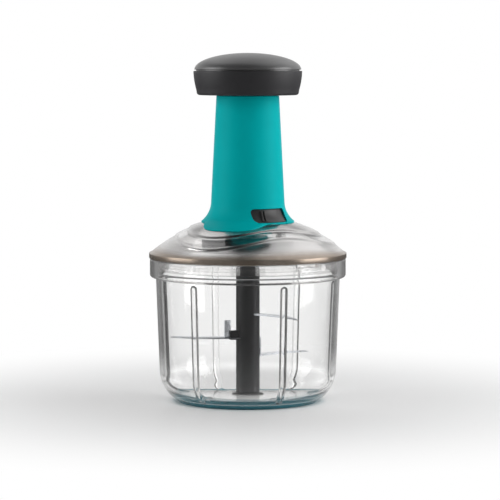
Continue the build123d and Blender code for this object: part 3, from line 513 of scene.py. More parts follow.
class Bench:
    """A node tree, with short ways to add nodes to it. A value may be a number or a socket."""

    def __init__(self, tree: bpy.types.NodeTree) -> None:
        """Work on a tree."""
        self.tree = tree

    def add(self, kind: str, **values: object) -> bpy.types.Node:
        """Add a node of a kind and set its properties.

        Args:
            kind: Blender's node type.
            values: Properties of the node.

        Returns:
            The new node.
        """
        node = self.tree.nodes.new(kind)
        for key, value in values.items():
            setattr(node, key, value)
        return node

    def feed(self, socket: Socket, value: object) -> None:
        """Link a socket to another one, or set it to a value.

        Args:
            socket: The input to feed.
            value: A socket, a number or a colour.
        """
        if isinstance(value, Socket):
            self.tree.links.new(value, socket)
        else:
            socket.default_value = (*value, 1.0) if socket.type == "RGBA" else value

    def wire(self, kind: str, inputs: dict, output: int | str = 0, **values: object) -> Socket:
        """Add a node and feed its inputs.

        Args:
            kind: Blender's node type.
            inputs: Value of each input, by its number or name.
            output: The output that is wanted.
            values: Properties of the node.

        Returns:
            The output.
        """
        node = self.add(kind, **values)
        for key, value in inputs.items():
            self.feed(node.inputs[key], value)
        return node.outputs[output]

    def calc(self, operation: str, one: object, two: object = 0.0) -> Socket:
        """Result of a sum on one or two values."""
        return self.wire("ShaderNodeMath", {0: one, 1: two}, operation=operation)

    def blend(self, factor: Socket, low: object, high: object) -> Socket:
        """Value that goes from low to high with a factor."""
        return self.wire("ShaderNodeMix", {0: factor, 2: low, 3: high}, data_type="FLOAT")

    def tone(self, factor: Socket, low: Socket, high: Triple, kind: str = "MIX") -> Socket:
        """Colour that goes from low to a fixed colour with a factor."""
        inputs = {0: factor, 6: low, 7: high}
        return self.wire("ShaderNodeMix", inputs, 2, data_type="RGBA", blend_type=kind)

    def mapped(self, value: Socket, given: Point, wanted: Point, kind: str = "SMOOTHSTEP") -> Socket:
        """Value moved from one range to another, eased unless the kind says otherwise."""
        ends = {"From Min": given[0], "From Max": given[1], "To Min": wanted[0], "To Max": wanted[1]}
        return self.wire("ShaderNodeMapRange", {"Value": value, **ends}, interpolation_type=kind)

    def any_of(self, *names: str) -> Socket:
        """Factor that is 1 for rays of the named kinds.

        Args:
            names: Outputs of the light path.

        Returns:
            The factor.
        """
        path = self.add("ShaderNodeLightPath")
        kinds = [path.outputs[name] for name in names]
        return reduce(lambda one, two: self.calc("MAXIMUM", one, two), kinds)

    def before(self, *names: str) -> Socket:
        """Factor that is 1 until a ray has bounced in one of the named ways.

        Args:
            names: Depth outputs of the light path.

        Returns:
            The factor.
        """
        path = self.add("ShaderNodeLightPath")
        depths = [path.outputs[name] for name in names]
        return self.calc("LESS_THAN", reduce(lambda one, two: self.calc("ADD", one, two), depths), 0.5)

    def seen(self) -> Socket:
        """Factor that is 1 for camera, mirror and see-through rays, and 0 for the light that lights."""
        kinds = self.any_of("Is Camera Ray", "Is Glossy Ray", "Is Transmission Ray")
        return self.calc("MULTIPLY", kinds, self.before("Diffuse Depth"))

    def direct(self) -> Socket:
        """Factor that is 1 for rays that come from the camera without a mirroring on the way."""
        kinds = self.any_of("Is Camera Ray", "Is Transmission Ray")
        return self.calc("MULTIPLY", kinds, self.before("Diffuse Depth", "Glossy Depth"))


class Recipe(Bench):
    """A new material with its main shader."""

    def __init__(self, name: str) -> None:
        """Start an empty material with a name.

        Args:
            name: Name of the material.
        """
        self.material = bpy.data.materials.new(name)
        self.material.use_nodes = True
        super().__init__(self.material.node_tree)
        self.shader = self.tree.nodes["Principled BSDF"]

    def set(self, **values: object) -> None:
        """Feed the main shader's inputs; underscores stand for spaces."""
        for key, value in values.items():
            self.feed(self.shader.inputs[key.replace("_", " ")], value)

    def cover(self, factor: Socket, shader: Socket) -> None:
        """Lay another shader over the main one with a factor."""
        mixed = self.wire("ShaderNodeMixShader", {0: factor, 1: self.shader.outputs[0], 2: shader})
        self.feed(self.tree.nodes["Material Output"].inputs["Surface"], mixed)

    def object_place(self) -> Socket:
        """Object coordinates in metres."""
        return self.add("ShaderNodeTexCoord").outputs["Object"]

    def place(self, scale: Triple = (1.0, 1.0, 1.0)) -> Socket:
        """Object coordinates in millimetres, stretched by a scale."""
        inputs = {"Vector": self.object_place(), "Scale": tuple(value / MM for value in scale)}
        return self.wire("ShaderNodeMapping", inputs)

    def stored(self, name: str) -> Socket:
        """Value of a named attribute of the mesh."""
        return self.add("ShaderNodeAttribute", attribute_name=name).outputs["Fac"]

    def noise(self, vector: Socket, scale: float, detail: float) -> Socket:
        """Noise factor at a scale given per millimetre."""
        return self.wire("ShaderNodeTexNoise", {"Scale": scale, "Detail": detail, "Vector": vector}, "Fac")

    def ramp(self, factor: Socket, low: Triple, high: Triple, ends: Point = NOISE_RANGE) -> Socket:
        """Colour that runs from low to high as a factor runs from end to end.

        Args:
            factor: What the colour follows.
            low: Colour at the first end.
            high: Colour at the second end.
            ends: The two ends.

        Returns:
            The colour.
        """
        node = self.add("ShaderNodeValToRGB")
        for element, position, colour in zip(node.color_ramp.elements, ends, (low, high)):
            element.position = position
            element.color = (*colour, 1.0)
        self.feed(node.inputs["Fac"], factor)
        return node.outputs["Color"]

    def span(self, factor: Socket, low: float, high: float) -> Socket:
        """Value that runs from low to high as a factor runs over its middle range."""
        return self.mapped(factor, NOISE_RANGE, (low, high), "LINEAR")

    def bump(self, height: Socket, depth: float, strength: float) -> None:
        """Raise the surface by a height field, with its depth in millimetres."""
        inputs = {"Distance": depth * MM, "Strength": strength, "Height": height}
        self.set(Normal=self.wire("ShaderNodeBump", inputs, "Normal"))

    def mottle(self, colour: Triple, shares: Point, scale: float, detail: float) -> None:
        """Cloudy base colour between two shares of a colour."""
        low, high = (tuple(min(1.0, part * share) for part in colour) for share in shares)
        self.set(Base_Color=self.ramp(self.noise(self.place(), scale, detail), low, high))

    def texture(self, field: Socket, rough: float, shares: Point, depth: float, strength: float) -> None:
        """Roughness between two shares of a value, and a bump, both of the same field."""
        self.set(Roughness=self.span(field, rough * shares[0], rough * shares[1]))
        self.bump(field, depth, strength)


@dataclass(frozen=True)
class MouldedPlastic:
    """Opaque moulded plastic with a fine skin and faint unevenness of colour."""

    name: str
    colour: Triple
    rough: float
    skin: float = 0.02
    grain: float = 2.2
    shade: float = 0.06
    specular: float = 0.4

    def material(self) -> bpy.types.Material:
        """Build the material.

        Returns:
            The finished material.
        """
        recipe = Recipe(self.name)
        shares = (1.0 - self.shade, 1.0 + self.shade)
        recipe.mottle(self.colour, shares, scale=0.06, detail=4.0)
        fine = recipe.noise(recipe.place(), scale=self.grain, detail=4.0)
        recipe.texture(fine, self.rough, (0.85, 1.15), depth=self.skin, strength=0.6)
        recipe.set(Specular_IOR_Level=self.specular)
        return recipe.material


@dataclass(frozen=True)
class Steel:
    """Ground or drawn steel with fine lines in one direction."""

    name: str
    colour: Triple
    rough: float
    grain: Grain = Grain.ROUND
    lines: float = 0.012

    def material(self) -> bpy.types.Material:
        """Build the material.

        Returns:
            The finished material.
        """
        recipe = Recipe(self.name)
        recipe.mottle(self.colour, (0.86, 1.0), scale=0.12, detail=3.0)
        streak = recipe.noise(recipe.place(self.grain.value), scale=1.0, detail=5.0)
        recipe.texture(streak, self.rough, (0.75, 1.3), depth=self.lines, strength=0.5)
        recipe.set(Metallic=1.0)
        return recipe.material


@dataclass(frozen=True)
class SoftRubber:
    """Matt soft moulding with a faint bloom."""

    name: str
    colour: Triple
    rough: float = 0.55
    sheen: float = 0.15

    def material(self) -> bpy.types.Material:
        """Build the material.

        Returns:
            The finished material.
        """
        recipe = Recipe(self.name)
        recipe.mottle(self.colour, (0.88, 1.0), scale=0.15, detail=4.0)
        fine = recipe.noise(recipe.place(), scale=3.0, detail=3.0)
        recipe.texture(fine, self.rough, (0.9, 1.1), depth=0.02, strength=0.6)
        recipe.set(Specular_IOR_Level=0.35, Sheen_Weight=self.sheen, Sheen_Roughness=0.5)
        return recipe.material


@dataclass(frozen=True)
class Depth:
    """Painted shade that darkens a clear wall as the eye looks along it, standing in for the dark
    surroundings that refraction shows there.
    """

    start: float
    full: float
    painted_shade: float


@dataclass(frozen=True)
class ClearPlastic:
    """See-through moulded plastic with painted shade along its walls, in its thick zone and beside its
    ridges, and painted surroundings where its mesh marks them.
    """

    name: str
    face: Triple
    # edge is the colour of the painted shade at a full slant.
    edge: Triple
    wall: Depth
    thick: Depth
    ridge: Depth
    zone: Point
    zone_blend: float = 0.6
    rough: float = 0.02
    index: float = 1.49
    specular: float = 0.14
    ripple: float = 0.01
    frost: Triple = (0.6, 0.585, 0.575)
    frost_rough: float = 0.3
    # Default colour of the painted brown reflection on the lid's rim; the solid share below makes part of it
    # opaque.
    painted_surround: Triple = (0.46, 0.38, 0.31)
    painted_surround_solid: float = 0.5
    alpha: float = 1.0
    faint_alpha: float = 1.0

    def in_zone(self, recipe: Recipe) -> Socket:
        """Factor that is 1 between the two heights of the thick zone.

        Args:
            recipe: The material's recipe.

        Returns:
            The factor.
        """
        height = recipe.wire("ShaderNodeSeparateXYZ", {0: recipe.object_place()}, "Z")
        half = self.zone_blend / 2.0
        rise, fall = (
            recipe.mapped(height, ((level - half) * MM, (level + half) * MM), ends, "LINEAR")
            for level, ends in zip(self.zone, ((0.0, 1.0), (1.0, 0.0)))
        )
        return recipe.calc("MULTIPLY", rise, fall)

    def painted_shade(self, recipe: Recipe) -> Socket:
        """Share of painted shade that the walls, the thick zone and the ridges take at a slant.

        Args:
            recipe: The material's recipe.

        Returns:
            The share.
        """
        facing = recipe.wire("ShaderNodeLayerWeight", {"Blend": 0.5}, "Facing")
        wall, thick, ridge = (
            recipe.mapped(facing, (depth.start, depth.full), (0.0, depth.painted_shade))
            for depth in (self.wall, self.thick, self.ridge)
        )
        return recipe.blend(recipe.stored(RIDGE), recipe.blend(self.in_zone(recipe), wall, thick), ridge)

    def material(self) -> bpy.types.Material:
        """Build the material, which lets lamps shine through.

        Returns:
            The finished material.
        """
        recipe = Recipe(self.name)
        painted_shade, veil, painted_surround_share = self.painted_shade(recipe), recipe.stored(VEIL), recipe.stored(PAINTED_SURROUND)
        # The base colour runs from the face colour to the dark edge colour of the painted shade.
        frosted = recipe.tone(veil, recipe.ramp(painted_shade, self.face, self.edge, (0.0, 1.0)), self.frost)
        solid = recipe.calc("MULTIPLY", painted_surround_share, self.painted_surround_solid)
        flow = recipe.noise(recipe.place(), scale=0.08, detail=2.0)
        grain = recipe.span(flow, self.rough * 0.7, self.rough * 1.3)
        # Painted surroundings multiply into the base colour and, by their solid share, replace part of the
        # transmission.
        recipe.set(
            Base_Color=recipe.tone(painted_surround_share, frosted, self.painted_surround, "MULTIPLY"),
            Metallic=veil,
            Roughness=recipe.calc("ADD", grain, recipe.calc("MULTIPLY", veil, self.frost_rough)),
            Transmission_Weight=recipe.blend(solid, recipe.calc("SUBTRACT", 1.0, painted_shade), 0.0),
            IOR=self.index,
            Specular_IOR_Level=self.specular,
            Alpha=self.alpha,
        )
        if self.faint_alpha < self.alpha:
            recipe.set(Alpha=recipe.span(recipe.stored(FAINT), self.alpha, self.faint_alpha))
        recipe.bump(flow, depth=self.ripple, strength=0.5)
        pale = tuple(0.5 + 0.5 * part for part in self.face)
        through = recipe.wire("ShaderNodeBsdfTransparent", {"Color": pale})
        recipe.cover(recipe.any_of("Is Shadow Ray"), through)
        return recipe.material


FINISHES = {
    "clear_plastic": ClearPlastic(
        "clear bowl plastic",
        face=(0.995, 0.995, 0.993),
        edge=(0.03, 0.027, 0.026),
        wall=Depth(0.62, 1.0, 0.6),
        thick=Depth(0.5, 0.75, 0.8),
        ridge=Depth(0.05, 0.3, 0.85),
        zone=(79.0, 100.0),
        # Painted blue of the ring, as it would be seen through the bowl's foot.
        painted_surround=(0.02, 0.15, 0.19),
        painted_surround_solid=0.9,
    ),
    "base_rubber": SoftRubber("blue base rubber", colour=(0.015, 0.13, 0.165)),
    "turned_steel": Steel("turned steel", colour=(0.62, 0.63, 0.65), rough=0.24),
    "column_plastic": MouldedPlastic(
        "black column plastic", colour=(0.014, 0.014, 0.015), rough=0.42, specular=0.25
    ),
    "bearing_plastic": MouldedPlastic("natural bearing plastic", colour=(0.72, 0.70, 0.64), rough=0.42),
    "blade_steel": Steel("ground blade steel", colour=(0.74, 0.76, 0.80), rough=0.28, grain=Grain.ALONG),
    "smoky_plastic": ClearPlastic(
        "smoky lid plastic",
        face=(0.93, 0.92, 0.915),
        edge=(0.045, 0.038, 0.036),
        wall=Depth(0.75, 1.05, 0.7),
        thick=Depth(0.5, 0.8, 0.75),
        ridge=Depth(0.4, 0.8, 0.5),
        zone=(80.0, 94.6),
        rough=0.03,
        faint_alpha=0.3,
    ),
    "gasket_silicone": ClearPlastic(
        "clear silicone",
        face=(0.93, 0.93, 0.92),
        edge=(0.3, 0.3, 0.29),
        wall=Depth(0.5, 1.0, 0.4),
        thick=Depth(0.5, 1.0, 0.4),
        ridge=Depth(0.5, 1.0, 0.4),
        zone=(80.0, 94.0),
        rough=0.12,
        index=1.41,
        alpha=0.25,
    ),
    "cover_plastic": MouldedPlastic(
        "black cover plastic", colour=(0.008, 0.009, 0.010), rough=0.40, specular=0.2
    ),
    "screw_steel": Steel("zinc plated steel", colour=(0.55, 0.56, 0.57), rough=0.30),
    "teal_plastic": MouldedPlastic(
        "teal handle plastic", colour=(0.0, 0.45, 0.47), rough=0.45, skin=0.008, shade=0.03, specular=0.03
    ),
    "spring_steel": Steel("spring wire", colour=(0.50, 0.51, 0.53), rough=0.28, grain=Grain.ALONG),
    "slider_plastic": MouldedPlastic("dark slider plastic", colour=(0.04, 0.038, 0.039), rough=0.38),
    "tube_plastic": MouldedPlastic("grey tube plastic", colour=(0.13, 0.14, 0.15), rough=0.34),
    "knob_plastic": MouldedPlastic("dark knob plastic", colour=(0.029, 0.028, 0.031), rough=0.5),
    "cap_plastic": MouldedPlastic(
        "soft-touch cap plastic", colour=(0.066, 0.066, 0.067), rough=0.36, skin=0.03, specular=0.9
    ),
}


class Workshop:
    """Keeps the frame, the finish of each slot, and which nodes have a new piece."""

    def __init__(self, frame: dict) -> None:
        """Read the slot and the body of every node of the loaded frame.

        Args:
            frame: The loaded frame.
        """
        record = frame["record"]
        self.frame = frame
        self.slots = {part["node"]: part["material_slot"] for part in record["subparts"]}
        self.bodies = {node: body for body, nodes in record["behaviour"]["bodies"].items() for node in nodes}
        self.made: dict[str, bpy.types.Material] = {}
        self.replaced: set[str] = set()

    def finish(self, slot: str) -> bpy.types.Material:
        """Material of a slot, built when it is first asked for.

        Args:
            slot: Name of the slot.

        Returns:
            The material.
        """
        if slot not in self.made:
            self.made[slot] = FINISHES[slot].material()
        return self.made[slot]

    def hand_over(self, piece: Piece, node: str) -> None:
        """Give a piece its node's finish, body and place in the frame.

        Args:
            piece: The finished piece.
            node: The node that it stands for.
        """
        slot = self.slots[node]
        piece.data.materials.clear()
        piece.data.materials.append(self.finish(slot))
        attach(piece, self.bodies[node])
        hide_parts(node)
        self.replaced.add(node)
        LOG.info("%s: %d faces for %s on %s", piece.name, len(piece.data.polygons), node, self.bodies[node])

    def copy_over(self, node: str, rounding: float = 0.0) -> None:
        """Put a smooth copy, with rounded edges, in the place of a node."""
        self.hand_over(copied_node(self.frame, node, f"{node}_finished", rounding), node)

    def dress_nodes(self) -> None:
        """Give every node that stays its slot's finish."""
        for node, holder in self.frame["nodes"].items():
            if node in self.replaced:
                continue
            for slot in holder.material_slots:
                slot.material = self.finish(self.slots[node])
            LOG.info("%s: frame node dressed as %s", node, self.slots[node])


# ---------------------------------------------------------------------------------------------
# Bowl


@dataclass
class Bowl:
    """Clear bowl with its ribs and collar, and the soft ring under it."""

    foot_z: float = 1.0
    foot_radius: float = 45.2
    floor_z: float = 3.8
    wall: float = 2.9
    corner_top: Point = (56.0, 20.0)
    neck: Point = (58.2, 79.0)
    inner_corner: float = 13.0
    collar_radius: float = 62.0
    collar_wall: float = 3.2
    collar_top_z: float = 90.7
    collar_corner: float = 3.0
    groove: Point = (34.0, 44.4)
    groove_top_z: float = 2.2
    pin_hole: Point = (2.5, 1.8)
    rib_count: int = 6
    rib_bearing: float = 23.5
    rib_radius: float = 2.3
    rib_head_z: float = 75.0
    rib_margin: float = 0.5
    # rib_fade to rib_rear_share shape the painted shade beside the ribs.
    rib_fade: Point = (3.0, 4.0)
    rib_stand: float = 0.12
    rib_front: float = 98.0
    rib_rear_share: float = 0.25
    key_bearing: float = 39.0
    key_span: float = 18.0
    key_gap: float = 0.4
    notch_depth: Point = (5.0, 1.6)
    notch_reach: Point = (2.3, 1.0)
    ring_gap: float = 0.06
    # Where the ring's blue is painted on the foot.
    ring_painted_on_foot_z: Point = (2.7, 3.5)
    ring_painted_on_foot_radius: float = 44.3
    run: float = 12.0

    def inner_radius(self, height: float) -> float:
        """Inside radius of the wall at a height."""
        rise = (height - self.corner_top[1]) / (self.neck[1] - self.corner_top[1])
        return self.corner_top[0] + rise * (self.neck[0] - self.corner_top[0]) - self.wall

    def outer_corner(self) -> list[Point]:
        """Arc from the foot up into the wall.

        Returns:
            The points of the arc.
        """
        across = self.corner_top[0] - self.foot_radius
        rise = self.corner_top[1] - self.foot_z
        radius = (across**2 + rise**2) / (2.0 * across)
        centre = (self.corner_top[0] - radius, self.corner_top[1])
        return arc((self.foot_radius, self.foot_z), self.corner_top, centre, steps=16)

    def outline(self) -> list[Point]:
        """Closed half section of the bowl, from the middle of its underside round to the pin hole.

        Returns:
            The points of the section.
        """
        shoulder_z = self.neck[1] + self.collar_corner
        collar_inner = self.collar_radius - self.collar_wall
        side = self.corner_top, self.neck
        inner_end_z = self.floor_z + self.inner_corner
        inner_end = (self.inner_radius(inner_end_z), inner_end_z)
        floor_end = (inner_end[0] - self.inner_corner, self.floor_z)
        under = [
            (0.0, self.foot_z),
            (self.groove[0], self.foot_z),
            (self.groove[0], self.groove_top_z),
            (self.groove[1], self.groove_top_z),
            (self.groove[1], self.foot_z),
        ]
        collar = rounded(
            [
                (*side[0], 0.0),
                (*side[1], 0.8),
                (self.collar_radius, self.neck[1], self.collar_corner),
                (self.collar_radius, self.collar_top_z, 0.7),
                (collar_inner, self.collar_top_z, 0.7),
                (collar_inner, shoulder_z, 0.9),
                (self.inner_radius(shoulder_z), shoulder_z, 0.8),
                (*inner_end, 0.0),
            ],
            steps=6,
        )
        inside = arc(inner_end, floor_end, (floor_end[0], inner_end[1]), steps=14)
        hole = [(self.pin_hole[0], self.floor_z), self.pin_hole, (0.0, self.pin_hole[1])]
        return under + self.outer_corner() + refined(collar, self.run)[1:-1] + inside + hole

    def rib(self, bearing: float) -> Piece:
        """Half-round rib: a sphere drawn out down the wall and round the corner.

        Args:
            bearing: Degrees from the front towards +X.

        Returns:
            The rib, sunk halfway into the wall.
        """
        rings, caps, sides = 36, 5, 20
        head = Vector((self.inner_radius(self.rib_head_z), self.rib_head_z))
        turn_z = self.floor_z + self.inner_corner
        turn = Vector((self.inner_radius(turn_z), turn_z))
        centre = turn - Vector((self.inner_corner, 0.0))
        straight = (turn - head).length
        whole = straight + self.inner_corner * math.pi / 2.0
        deselect()
        bpy.ops.mesh.primitive_uv_sphere_add(segments=sides, ring_count=rings, radius=1.0)
        piece = bpy.context.object

        def drawn(point: Vector) -> Vector:
            """Place of a sphere point on the rib.

            Args:
                point: Point of the unit sphere.

            Returns:
                The place in metres.
            """
            ring = round(math.acos(max(-1.0, min(1.0, point.z))) / math.pi * rings)
            cap = min(ring, rings - ring, caps) / caps * math.pi / 2.0
            reach = self.rib_radius * math.sin(cap)
            past = self.rib_radius * (1.0 - math.cos(cap))
            if ring <= caps:
                along = past - self.rib_radius
            elif ring >= rings - caps:
                along = whole + self.rib_radius - past
            else:
                along = whole * (ring - caps) / (rings - 2 * caps)
            if along <= straight:
                spot = head + (turn - head).normalized() * along
                inwards = Vector((-1.0, 0.0))
            else:
                angle = min((along - straight) / self.inner_corner, math.pi / 2.0)
                inwards = Vector((-math.cos(angle), math.sin(angle)))
                spot = centre - inwards * self.inner_corner
                spot += Vector((-math.sin(angle), -math.cos(angle))) * max(0.0, along - whole)
            side = math.atan2(point.y, point.x)
            spot = spot + inwards * (reach * math.cos(side))
            return Vector((spot.x, reach * math.sin(side), spot.y)) * MM

        reshape(piece, drawn)
        with edited(piece):
            bpy.ops.mesh.normals_make_consistent(inside=False)
        face_bearing(piece, bearing)
        return piece

    def is_rib(self, point: Vector) -> float:
        """Share of painted shade beside a rib: 1 where a rib stands in from the wall, fading round the
        corner and less at the rear, or 0.

        Args:
            point: A vertex of the bowl.

        Returns:
            The value.
        """
        radius, height = measured(point)
        turn_z = self.floor_z + self.inner_corner
        top = self.rib_head_z + self.rib_radius + self.rib_margin
        if not (self.floor_z + 2.0 * self.rib_margin < height < top and radius > self.groove[1]):
            return 0.0
        drop = max(0.0, turn_z - height)
        wall = self.inner_radius(max(height, turn_z)) - self.inner_corner
        wall += math.sqrt(max(0.0, self.inner_corner**2 - drop**2))
        in_front = math.cos(math.radians(bearing_of(point))) > math.cos(math.radians(self.rib_front))
        share = 1.0 if in_front else self.rib_rear_share
        share *= ease(height, self.floor_z + self.rib_fade[0], turn_z + self.rib_fade[1])
        return share if radius < wall - self.rib_stand else 0.0

    def ring_painted_on_foot(self, point: Vector) -> float:
        """1 at the outside of the foot, where the soft ring's blue is painted on as it would be seen through
        the foot, and 0 elsewhere.

        Args:
            point: A vertex of the bowl.

        Returns:
            The value.
        """
        radius, height = measured(point)
        low, high = self.ring_painted_on_foot_z
        return 1.0 - ease(height, low, high) if radius > self.ring_painted_on_foot_radius else 0.0

    def make_bowl(self) -> Piece:
        """Bowl with ribs and the key's notch.

        Returns:
            The bowl as one closed wall.
        """
        bowl = lathe("bowl_shell", self.outline(), steps=180)
        turn = 360.0 / self.rib_count
        ribs = join("ribs", [self.rib(self.rib_bearing + index * turn) for index in range(self.rib_count)])
        cut(bowl, ribs, joined=True)
        # Painted shade beside the ribs.
        mark(bowl, RIDGE, self.is_rib)
        # The ring's blue painted on the outside of the foot.
        mark(bowl, PAINTED_SURROUND, self.ring_painted_on_foot)
        spread = self.key_gap / self.collar_radius * 180.0 / math.pi
        inner, outer = (self.collar_radius - depth for depth in self.notch_depth)
        notch = sector(
            "notch",
            (self.key_bearing - self.key_span / 2.0 - spread, self.key_span + 2.0 * spread),
            (inner, outer + self.key_gap),
            (self.collar_top_z - self.notch_reach[0], self.collar_top_z + self.notch_reach[1]),
        )
        cut(bowl, notch)
        return smooth(bowl, angle=CRISP)

    def make_base_ring(self) -> Piece:
        """Soft ring with rounded lower edges.

        Returns:
            The ring, just clear of its groove.
        """
        inner, outer = self.groove[0] + self.ring_gap, self.groove[1] - self.ring_gap
        top = self.groove_top_z - self.ring_gap
        corners = [
            (inner, top, 0.0),
            (inner, 0.0, 0.6),
            (outer, 0.0, 0.6),
            (outer, top, 0.2),
            (inner, top, 0.0),
        ]
        return smooth(lathe("base_ring_moulding", rounded(corners)[:-1], steps=180))

    def build(self, shop: Workshop) -> None:
        """Make and dress the bowl's pieces.

        Args:
            shop: Hands over the finished pieces.
        """
        shop.hand_over(self.make_bowl(), "bowl")
        shop.hand_over(self.make_base_ring(), "base_ring")
        shop.copy_over("pivot_pin", rounding=0.15)


# ---------------------------------------------------------------------------------------------
# Blades


def bowed(start: Point, end: Point, bulge: float, share: float) -> Point:
    """Point at a share of an arc that bows to the left of the way from start to end.

    Args:
        start: Start of the arc.
        end: End of the arc.
        bulge: How far it bows.
        share: Share of the way, from 0 to 1.

    Returns:
        The point.
    """
    first, way = Vector(start), Vector(end) - Vector(start)
    left = Vector((-way.y, way.x)).normalized()
    radius = (way.length_squared / 4.0 + bulge * bulge) / (2.0 * bulge)
    centre = first + way / 2.0 + left * (bulge - radius)
    half = math.asin(way.length / 2.0 / radius)
    angle = half * (2.0 * share - 1.0)
    spot = centre + left * (radius * math.cos(angle)) + way.normalized() * (radius * math.sin(angle))
    return spot.x, spot.y


@dataclass
class Blade:
    """One swept-back blade with a ground edge, with or without an upright tab and a bent tip."""

    name: str
    bearing: float
    height: float
    reach: float = 50.0
    sweep: float = 23.5
    root: float = 5.5
    width: float = 7.0
    back_bulge: float = 2.5
    edge_bulge: float = 6.5
    thickness: float = 1.0
    edge_width: float = 1.9
    edge_thickness: float = 0.12
    tab_radius: float = 14.0
    tab_size: Triple = (4.2, 1.0, 11.6)
    tabbed: bool = False
    bent_length: float = 0.0
    tip_rise: float = 0.0
    cells: tuple[int, int] = (40, 8)
    weld: float = 0.01

    def tip(self) -> Point:
        """Tip of the blade when its root points along +X."""
        angle = math.radians(self.sweep)
        return self.reach * math.cos(angle), -self.reach * math.sin(angle)

    def lift(self, length: float) -> float:
        """Height of the bent tip above the flat part, at a length along +X.

        Args:
            length: Distance from the axis.

        Returns:
            The height.
        """
        start = self.tip()[0] - self.bent_length
        if self.bent_length <= 0.0 or length <= start:
            return 0.0
        return (length - start) / self.bent_length * self.tip_rise

    def make_strip(self) -> Piece:
        """Blade from a grid that is given its plan, its thickness and its ground edge.

        Returns:
            The blade along +X.
        """
        half = self.width / 2.0
        tip = self.tip()

        def shaped(point: Vector) -> Vector:
            """Place of a grid point on the blade.

            Args:
                point: Point of the unit block.

            Returns:
                The place in metres.
            """
            back = Vector(bowed((self.root, -half), tip, self.back_bulge, point.x + 0.5))
            edge = Vector(bowed((self.root, half), tip, self.edge_bulge, point.x + 0.5))
            across = back + (edge - back) * (point.y + 0.5)
            ground = min(1.0, (edge - across).length / self.edge_width + self.edge_thickness)
            height = self.height + self.lift(across.x) + point.z * self.thickness * ground
            return Vector((across.x, across.y, height)) * MM

        return slab(self.name, self.cells, shaped, self.weld)

    def make(self) -> Piece:
        """Whole blade, turned to its bearing.

        Returns:
            The blade with its tab, where it has one.
        """
        pieces = [self.make_strip()]
        if self.tabbed:
            middle = (self.tab_radius, 0.0, self.height + self.tab_size[2] / 2.0)
            pieces.append(block("tab", self.tab_size, middle))
            soften(pieces[-1], width=0.3, segments=3)
        blade = join(self.name, pieces)
        face_bearing(blade, self.bearing)
        return smooth(blade, angle=CRISP)


@dataclass
class BladeUnit:
    """Column with its lugs and its four blades."""

    radius: float = 7.5
    bottom_z: float = 4.1
    top_z: float = 89.7
    flange_radius: float = 10.0
    flange_top_z: float = 6.1
    flange_slope: float = 1.0
    bush_radius: float = 4.35
    bush_top_z: float = 16.1
    bore: Point = (3.1, 20.1)
    socket_z: float = 73.5
    socket_across: float = 8.4
    lug_reach: float = 12.5
    lug_width: float = 4.4
    lug_rise: float = 4.9
    lug_drop: float = 0.9
    lug_start: float = 3.0
    run: float = 12.0

    def blades(self) -> dict[str, Blade]:
        """The four blades by their node names.

        Returns:
            The blades.
        """
        return {
            "upper_blade": Blade("upper_blade_ground", 62.0, 55.0),
            "middle_blade": Blade("middle_blade_ground", 293.5, 40.2, tabbed=True),
            "lower_blade": Blade("lower_blade_ground", 150.0, 27.6, tabbed=True),
            "bottom_blade": Blade(
                "bottom_blade_ground", 197.0, 9.0, reach=43.0, bent_length=14.0, tip_rise=9.0
            ),
        }

    def make_column(self) -> Piece:
        """Column with its foot flange, bores, lugs and hexagonal socket.

        Returns:
            The column.
        """
        corners = [
            (0.0, self.bore[1], 0.0),
            (self.bore[0], self.bore[1], 0.0),
            (self.bore[0], self.bush_top_z, 0.0),
            (self.bush_radius, self.bush_top_z, 0.0),
            (self.bush_radius, self.bottom_z, 0.2),
            (self.flange_radius, self.bottom_z, 0.3),
            (self.flange_radius, self.flange_top_z - self.flange_slope, 0.3),
            (self.radius, self.flange_top_z, 0.5),
            (self.radius, self.top_z, 0.4),
            (0.0, self.top_z, 0.0),
        ]
        outline = refined(rounded(corners), self.run)
        column = lathe("blade_column_moulding", outline, steps=96, closed=False)
        lugs = []
        for blade in self.blades().values():
            if blade.tabbed:
                size = (self.lug_reach - self.lug_start, self.lug_width, self.lug_rise + self.lug_drop)
                middle_z = blade.height - self.lug_drop + size[2] / 2.0
                lug = block("lug", size, ((self.lug_reach + self.lug_start) / 2.0, 0.0, middle_z))
                soften(lug, width=0.6, segments=4)
                face_bearing(lug, blade.bearing)
                lugs.append(lug)
        cut(column, join("lugs", lugs), joined=True)
        depth = self.top_z - self.socket_z + 1.0
        corner = self.socket_across / 2.0 / math.cos(math.pi / 6.0)
        cut(column, prism(6, corner, depth, (0.0, 0.0, (self.socket_z + depth / 2.0) * MM)))
        return smooth(column)

    def build(self, shop: Workshop) -> None:
        """Make and dress the column, its bush and the blades.

        Args:
            shop: Hands over the finished pieces.
        """
        shop.hand_over(self.make_column(), "blade_column")
        shop.copy_over("foot_bush", rounding=0.15)
        for node, blade in self.blades().items():
            shop.hand_over(blade.make(), node)


# ---------------------------------------------------------------------------------------------
# Lid


@dataclass(frozen=True)
class Slope:
    """Bulging slope of the lid, on which the handle's foot lies."""

    low: Point = (61.5, 94.5)
    high: Point = (35.0, 110.1)
    bulge: float = 1.3
    step: float = 0.8

    def height(self, radius: float) -> float:
        """Height of the slope without its tiers.

        Args:
            radius: Distance from the axis.

        Returns:
            The height.
        """
        low, high = Vector(self.low), Vector(self.high)
        run = (high - low).length
        outwards = Vector((high.y - low.y, low.x - high.x)) / run
        bend = (run * run / 4.0 + self.bulge**2) / (2.0 * self.bulge)
        centre = (low + high) / 2.0 + outwards * (self.bulge - bend)
        return centre.y + math.sqrt(bend * bend - (radius - centre.x) ** 2)

    def top(self, radius: float) -> float:
        """Height of the slope with both tiers."""
        return self.height(radius) + 2.0 * self.step


SLOPE = Slope()


